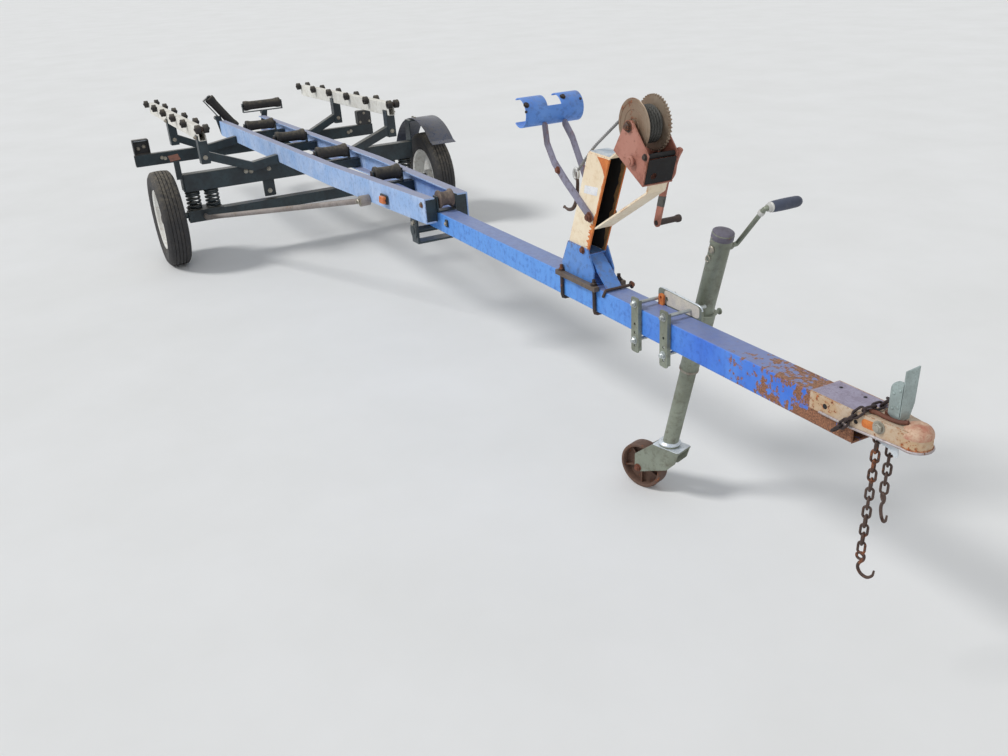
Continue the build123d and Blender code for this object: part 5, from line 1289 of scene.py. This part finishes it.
def coupler_details():
    draw = Random(5)
    edge = Piece()
    line = [spot(TONGUE, s, -coupler_half(s) - 0.0006, COUPLER_UNDER + 0.0018)
            for s in (COUPLER_REAR + 0.03, 2.09, TONGUE_END, 2.18, 2.22, BALL_STATION - 0.012)]
    head = [spot(TONGUE, BALL_STATION + EDGE_REACH * sin(a), -EDGE_REACH * cos(a), COUPLER_UNDER + 0.0022)
            for a in [pi * (k + 0.5) / 12 for k in range(12)]]
    mirrored = [Vector((p.x, -p.y, p.z)) for p in reversed(line)]
    edge.tube(line + head + mirrored, 0.0031, 12)
    edge.done("coupler_rolled_edge", "rolled_pale", "coupler_rust", crease=70)
    dome = Piece()
    centre = on(TONGUE, BALL_STATION)
    round_middle, round_height = HEAD_RADIUS - CROWN_ROUND, CROWN_TOP - CROWN_ROUND

    def crown(radius, a):
        return round_middle + radius * cos(a), round_height + radius * sin(a)

    outline = [(0, CROWN_TOP - 0.0005), (0, CROWN_TOP + SHEET)]
    outline += [crown(CROWN_ROUND + SHEET, pi / 2 * (1 - k / 8)) for k in range(9)]
    outline += [(HEAD_RADIUS + SHEET, -0.010), (HEAD_RADIUS - SHEET, -0.010)]
    outline += [(HEAD_RADIUS - SHEET, round_height)]
    outline += [crown(CROWN_ROUND - SHEET, a) for a in (0.5, 1.0)]
    dome.turned(centre, outline, 56)
    dome.done("coupler_dome", "dome_rust", "coupler_rust", crease=60)
    # A lavender-grey sheet over the rear of the coupler's top, up to a ragged line: painted light, the colour the
    # top takes in the light.
    lap = Piece()
    outline = [(COUPLER_REAR + 0.001, -0.0405), (COUPLER_REAR + 0.001, 0.0405)]
    for k in range(15):
        share = k / 14
        ragged = COUPLER_REAR + 0.125 + 0.035 * draw.random() - 0.03 * abs(share - 0.4)
        outline.append((ragged, 0.0405 - 0.081 * share))
    lap.plate(on(TONGUE, 0, 0, COUPLER_TOP - 0.0001), outline, 0.0005)
    lap.done("coupler_top_painted_light", "painted_light_top_grey", "coupler_rust")
    panel = Piece()
    panel.plate(coupler_side(2.176, -0.013, out=0.0), oblong(0.034, 0.019, 0.009), 0.0007)
    panel.done("coupler_side_panel", "rust_orange", "coupler_rust")
    bolts = Piece()
    bolts.bolt(coupler_side(2.199, -0.0095, out=0.0002), 0.0068, shank=0.0105, turn=0.5)
    bolts.bolt(coupler_side(2.199, -0.0095, LEFT, out=0.0002), 0.0068, shank=0.0145, turn=0.1)
    bolts.done("coupler_bolt", "bolt_zinc", "rod_grey")
    rivets = Piece()
    rivet_places = [
        # place, foot, shoulder, its height, height
        (tongue_spot(4.136, 0.018, COUPLER_TOP + 0.0003), 0.0045, 0.0038, 0.0008, 0.001),
        (tongue_spot(4.199, 0.023, COUPLER_TOP + 0.0003), 0.0045, 0.0038, 0.0008, 0.001),
        (coupler_side(2.06, -0.017, out=0.0001), 0.0062, 0.0052, 0.0009, 0.0011),
        (coupler_side(2.145, -0.018, out=0.0001), 0.005, 0.0042, 0.0008, 0.001),
    ]
    for place, foot, shoulder, rise, height in rivet_places:
        rivets.turned(place, [(0, 0), (foot, 0), (shoulder, rise), (0, height)], 18)
    rivets.done("coupler_rivets", "black_and_painted_shade", "coupler_rust")


LATCH_X, LATCH_Y, LATCH_SHEET = 4.3165, -0.015, 0.0035
LATCH_RIVETS = [(4.3105, 0.789), (4.3105, 0.752), (4.2965, 0.778), (4.2975, 0.745)]
LATCH_FRONT = [(LATCH_Y, 0.7235), (0.012, 0.7235), (0.0215, 0.757), (0.0225, 0.838), (LATCH_Y, 0.8345)]
LATCH_SIDE = [(4.2885, 0.729), (4.2875, 0.795), (4.303, 0.809), (4.3185, 0.809), (4.3185, 0.7245),
              (4.299, 0.7245)]
LEVER = [
    (4.2545, -0.024, 0.722), (4.272, -0.023, 0.7245), (4.296, -0.0215, 0.7235), (4.322, -0.019, 0.7255),
    (4.340, -0.014, 0.731),
]
TRIGGER_NEAR = [
    (4.275, 0.678), (4.330, 0.678), (4.334, 0.650), (4.326, 0.644), (4.314, 0.658), (4.282, 0.662),
]
TRIGGER_FAR = [(4.275, 0.678), (4.330, 0.678), (4.322, 0.664), (4.282, 0.664)]


def coupler_latch():
    plates = Piece()
    front = placed((AXLE_X + LATCH_X, 0, 0), (0, 1, 0), (1, 0, 0))
    plates.plate(front, LATCH_FRONT, LATCH_SHEET)
    side_plate(plates, rounded(LATCH_SIDE, 0.010), LATCH_Y, LATCH_SHEET)
    for x, z in LATCH_RIVETS:
        plates.turned(across(x, LATCH_Y, z, RIGHT), [
            (0, -0.0002), (0.0036, -0.0002), (0.0032, 0.0014), (0.0016, 0.0022), (0, 0.0023)], 16)
    plates.done("coupler_latch_angle", "latch_zinc", "galvanised", ["coupler_latch"], soft=0.0007)
    lever = Piece()
    lever.tube(smooth([(AXLE_X + x, y, z) for x, y, z in LEVER], 6), 0.0046, 12)
    lever.block(tongue_spot(4.298, 0, COUPLER_TOP + 0.0003), 0.040, 0.022, 0.010, 0.004)
    lever.done("coupler_lever", "bolt_rusty", "coupler_rust", crease=60)
    trigger = Piece()
    side_plate(trigger, rounded(TRIGGER_NEAR, 0.006), -0.022, 0.003)
    side_plate(trigger, rounded(TRIGGER_FAR, 0.006), 0.019, 0.003)
    trigger.done("coupler_trigger", "edge_white", "coupler_rust", soft=0.0005)


CHAIN_OVER = [
    (4.199, -0.0525, 0.664), (4.215, -0.0520, 0.682), (4.232, -0.0495, 0.704), (4.246, -0.0405, 0.7235),
    (4.253, -0.020, 0.7275), (4.2545, 0.005, 0.7278), (4.2505, 0.030, 0.7272), (4.245, 0.0475, 0.718),
    (4.238, 0.0515, 0.694), (4.236, 0.0515, 0.668),
]


def chain_over_coupler():
    made = Piece()
    line = evenly(smooth([(AXLE_X + x, y, z) for x, y, z in CHAIN_OVER], 8), 0.002)
    runs = [0.0]
    for before, after in zip(line, line[1:]):
        runs.append(runs[-1] + (after - before).length)
    number = 0
    for here, run, (head, u, v) in zip(line, runs, transported(line)):
        if run >= number * LINK_STEP:
            link(made, placed(here, head, (u + v) if number % 2 else (u - v)))
            number += 1
    made.done("chain_over_coupler", "chain_black", "hook_steel", crease=60)


# Bolts, pins and lamps along the frame

def ahead(x, y, z):
    """A place level with the bed that faces the front."""
    return placed(spot(BED, x, y, z), (0, 1, 0), BED.col[0].to_3d())


FRAME_BOLTS = [
    # x along the bed, y, height over the bed's plane, size
    (0.0022, 0.338, -0.030, 0.006), (0.0022, 0.309, -0.034, 0.006), (0.0022, 0.205, -0.034, 0.006),
    (-0.0318, 0.212, -0.166, 0.0065), (-1.0408, 0.650, -0.033, 0.0055), (-1.0408, 0.631, -0.040, 0.0055),
]
FORK_X, FORK_FACE, FORK_BOLT_RISE = (0.027, -1.016), 0.0256, 0.193
KEEL_PIN = [(0, 0), (0.0135, 0), (0.0135, 0.0016), (0.0082, 0.0018), (0.0082, 0.0042), (0.0072, 0.0054),
            (0, 0.0056)]
YOKE_PIN = [(0, 0), (0.0150, 0), (0.0150, 0.0018), (0.0092, 0.002), (0.0092, 0.0044), (0, 0.005)]


def frame_bolts():
    made = Piece()
    for x, y, z, size in FRAME_BOLTS:
        for side in BOTH:
            made.bolt(ahead(x, side * y, z), size, turn=x + y)
    for side in BOTH:
        for x in FORK_X:
            for shift in (-0.018, 0.018):
                face = facing(on(BED, x + shift, side * (BUNK_Y + FORK_FACE), FORK_BOLT_RISE), side)
                made.bolt(face, 0.0055, shank=0.011, turn=shift * 20)
            made.bolt(ahead(x + 0.0322, side * BUNK_Y, 0.085 if x > 0 else 0.075), 0.006)
        eye = facing(on(BED, 1.5, side * (rail_y(1.476) + 0.0443), 0.010), side)
        made.disc(eye, 0.0215, 0.0022, 28)
        made.bolt(on(eye, z=0.002), 0.0078, shank=0.017)
        front = facing(on(BED, 2.062, side * (rail_y(2.062) + 0.0002), 0.074), side)
        made.bolt(front, 0.0058, turn=0.7)
        strap = facing(on(BED, 1.96, side * (rail_y(1.992) + 0.0002), -0.018), side)
        made.bolt(strap, 0.0060, turn=0.2)
    for x in (-0.018, 0.018):
        made.bolt(upright(x - 0.036, 0.738, 0.6236), 0.0045)
    made.bolt(across(2.165, -0.0440, 0.619, RIGHT), 0.0042)
    made.done("frame_bolts", "bolt_zinc", "rod_grey")


def small_brackets():
    pad = Piece()
    pad.block(tongue_spot(2.165, -0.0410, -0.042), 0.022, 0.006, 0.028, 0.002)
    for side in BOTH:
        end = on(BED, 2.086, side * (rail_y(2.086) - 0.0285), 0.0030)
        pad.block(end, 0.0035, 0.046, 0.0960, 0.001)
    pad.block(upright(0.0195, -0.710, 0.474), 0.003, 0.030, 0.104, 0.001)
    pad.done("small_black_brackets", "frame_black", "frame_black", soft=0.0008)
    tab = Piece()
    sloping = placed((AXLE_X - 0.020, -0.711, 0.5875), (1, 0, 0), (0.28, -0.1, 1))
    tab.block(sloping, 0.070, 0.056, 0.003, 0.003)
    tab.done("fender_seat_tab", "bolt_rusty", "winch_rust", soft=0.0006)


def pin_ends():
    pins = Piece()
    for number in range(1, 6):
        name = f"keel_roller_{number}"
        reach = ROLLERS[name][0] / 2 + 0.0112
        for flank in BOTH:
            end = placed(pivot(f"{name}_spin") + Vector((0, flank * reach, 0)), (1, 0, 0), (0, flank, 0))
            pins.turned(end, KEEL_PIN, 22)
            pins.tube([spot(end, -0.002, -0.012, 0.0035), spot(end, 0.0, 0.013, 0.0035)], 0.0012, 6)
    for side_name in SIDES:
        joint = JOINTS[f"{side_name}_yoke_swing"]
        head = Vector(joint["axis"]).normalized()
        if head.x > 0:
            head = -head
        end = placed(Vector(joint["pos_m"]) + head * 0.0262, (0, 1, 0), head)
        pins.turned(end, YOKE_PIN, 22)
    pins.done("roller_pin_ends", "bolt_dark", "rod_grey")


LAMP_X, LAMP_Y, LAMP_WIDE, LAMP_TALL, LAMP_DEEP, LAMP_WALL = -1.066, 0.762, 0.100, 0.096, 0.052, 0.005
LAMP_SOCKET = [(0, 0), (0.0125, 0), (0.0125, 0.010), (0.008, 0.013), (0.0075, 0.024), (0, 0.025)]


def lamps():
    made, inside, dots = Piece(), Piece(), Piece()
    half, top = LAMP_WIDE / 2, LAMP_TALL
    right, left = [ahead(LAMP_X - LAMP_DEEP / 2, side * LAMP_Y, 0) for side in BOTH]
    outline = rounded(rectangle(-half, 0.0, half, top), 0.007)
    wall = LAMP_WALL
    opening = rounded(rectangle(wall - half, wall, half - wall, top - wall), 0.005)
    made.plate(right, outline, LAMP_DEEP, [opening])
    made.plate(right, outline, 0.004)
    made.prism(left, rounded(rectangle(-half, 0.0, half, top), 0.013, 6), 0.0, LAMP_DEEP)
    made.done("lamp_housings", "lamp_black", "lamp_black", ["tail_lights"], soft=0.0014)
    inside.block(on(right, 0.0, top - 0.009, 0.006), 0.084, 0.0035, 0.034, 0.001)
    inside.done("lamp_reflector", "edge_white", "lamp_black")
    for x, y in ((-0.018, 0.036), (0.020, 0.046)):
        dots.turned(on(right, x, y, 0.004), LAMP_SOCKET, 24)
    for x, y in ((-0.034, 0.020), (0.034, 0.020), (0.0, 0.078)):
        dots.bolt(on(left, x, y, LAMP_DEEP), 0.0042)
    dots.done("lamp_sockets", "bolt_zinc", "lamp_black")
    markers, lenses = Piece(), Piece()
    for side in BOTH:
        face = facing(on(BED, 1.690, side * (rail_y(1.652) + 0.0004), 0.042), side)
        markers.plate(face, oblong(0.076, 0.040, 0.006), 0.007)
        outline = rounded([(-0.030, -0.016), (0.022, -0.016), (0.030, 0.016), (-0.022, 0.016)], 0.007)
        lenses.prism(on(face, -0.008 * side, 0, 0.0068), outline, 0.0, 0.015)
        markers.bolt(on(face, 0.031, 0.0, 0.007), 0.0035)
    markers.done("marker_bases", "lamp_black", "marker_amber", ["side_markers"], soft=0.0008)
    lenses.done("marker_lenses", "marker_amber", "marker_amber", soft=0.003)


SADDLE_X, SADDLE_Z, SADDLE_RADIUS = 2.914, 1.150, 0.044
SADDLE_BOLTS = [
    # y, angle from the front, size
    (-0.094, 38.0, 0.0044), (0.036, 54.0, 0.0044), (-0.100, 12.0, 0.0020), (0.092, 34.0, 0.0020),
]


def saddle_bolts():
    made = Piece()
    for y, angle, size in SADDLE_BOLTS:
        head = Vector((cos(radians(angle)), 0, sin(radians(angle))))
        foot = Vector((AXLE_X + SADDLE_X, y, SADDLE_Z)) + head * (SADDLE_RADIUS - 0.0004)
        made.bolt(placed(foot, (0, 1, 0), head), size)
    made.done("bow_saddle_bolts", "bolt_dark", "rod_grey")


winch_post_details()
seat_clamp()
jack_head()
jack_crank()
jack_clamp()
caster()
coupler_details()
coupler_latch()
chain_over_coupler()
frame_bolts()
small_brackets()
pin_ends()
lamps()
saddle_bolts()


# Camera, floor and light

CAMERA_PLACE = (AXLE_X + 5.4126, -1.436, 1.6506)
CAMERA_AZIMUTH, CAMERA_ELEVATION, CAMERA_ROLL = radians(63.6176), radians(25.9406), radians(-2.9687)
PHOTO_WIDTH, FOCAL_PIXELS, SENSOR, FLOOR_REACH = 1008, 924.5, 36.0, 60.0
SUNS = [
    # name, strength, angle across in degrees, direction
    ("key", 1.75, 14.0, (0.28, 0.72, -0.78)), ("fill", 0.35, 40.0, (-0.8, 0.25, -0.5)),
]


def camera():
    data = bpy.data.cameras.new("camera")
    data.sensor_width = SENSOR
    data.lens = FOCAL_PIXELS * SENSOR / PHOTO_WIDTH
    made = stood("camera", data)
    back = Vector((
        sin(CAMERA_AZIMUTH) * cos(CAMERA_ELEVATION), -cos(CAMERA_AZIMUTH) * cos(CAMERA_ELEVATION),
        sin(CAMERA_ELEVATION),
    ))
    level = Vector((cos(CAMERA_AZIMUTH), sin(CAMERA_AZIMUTH), 0))
    rise = back.cross(level)
    right = level * cos(CAMERA_ROLL) + rise * sin(CAMERA_ROLL)
    up = rise * cos(CAMERA_ROLL) - level * sin(CAMERA_ROLL)
    matrix = Matrix((right, up, back)).transposed().to_4x4()
    matrix.translation = CAMERA_PLACE
    made.matrix_world = matrix
    bpy.context.scene.camera = made


def floor():
    data = bpy.data.meshes.new("floor")
    reach = FLOOR_REACH
    data.from_pydata([(x, y, 0) for x, y in rectangle(-reach, -reach, reach, reach)], [], [(0, 1, 2, 3)])
    made = stood("floor", data)
    material = bpy.data.materials.new("floor")
    material.use_nodes = True
    tree = material.node_tree
    where = put(tree, "TexCoord").outputs["Object"]
    cloudy = ramp(tree, noise(tree, where, 1.5, 4.0, 0.6), 0.3, 0.7)
    colour = mixed(tree, cloudy, (0.76, 0.76, 0.745, 1), (0.8, 0.8, 0.79, 1))
    shader = tree.nodes["Principled BSDF"]
    tree.links.new(colour, shader.inputs["Base Color"])
    shader.inputs["Roughness"].default_value = 0.85
    data.materials.append(material)


def light():
    world = bpy.data.worlds.new("studio")
    bpy.context.scene.world = world
    world.use_nodes = True
    tree = world.node_tree
    sky = tree.nodes["Background"]
    sky.inputs["Color"].default_value = (0.93, 0.96, 1.0, 1)
    sky.inputs["Strength"].default_value = 0.5
    seen = put(tree, "Background", Color=(0.84, 0.85, 0.86, 1), Strength=1.0)
    path = put(tree, "LightPath")
    direct = sums(tree, "MAXIMUM", path.outputs["Is Camera Ray"], path.outputs["Is Glossy Ray"])
    direct = sums(tree, "MAXIMUM", direct, path.outputs["Is Transmission Ray"])
    choice = tree.nodes.new("ShaderNodeMixShader")
    tree.links.new(direct, choice.inputs[0])
    tree.links.new(sky.outputs[0], choice.inputs[1])
    tree.links.new(seen.outputs[0], choice.inputs[2])
    tree.links.new(choice.outputs[0], tree.nodes["World Output"].inputs["Surface"])
    for name, energy, angle, towards in SUNS:
        data = bpy.data.lights.new(name, "SUN")
        data.energy = energy
        data.angle = radians(angle)
        lamp = stood(name, data)
        lamp.rotation_euler = Vector(towards).to_track_quat("-Z", "Y").to_euler()
    bpy.context.scene.view_settings.view_transform = "Standard"


camera()
floor()
light()
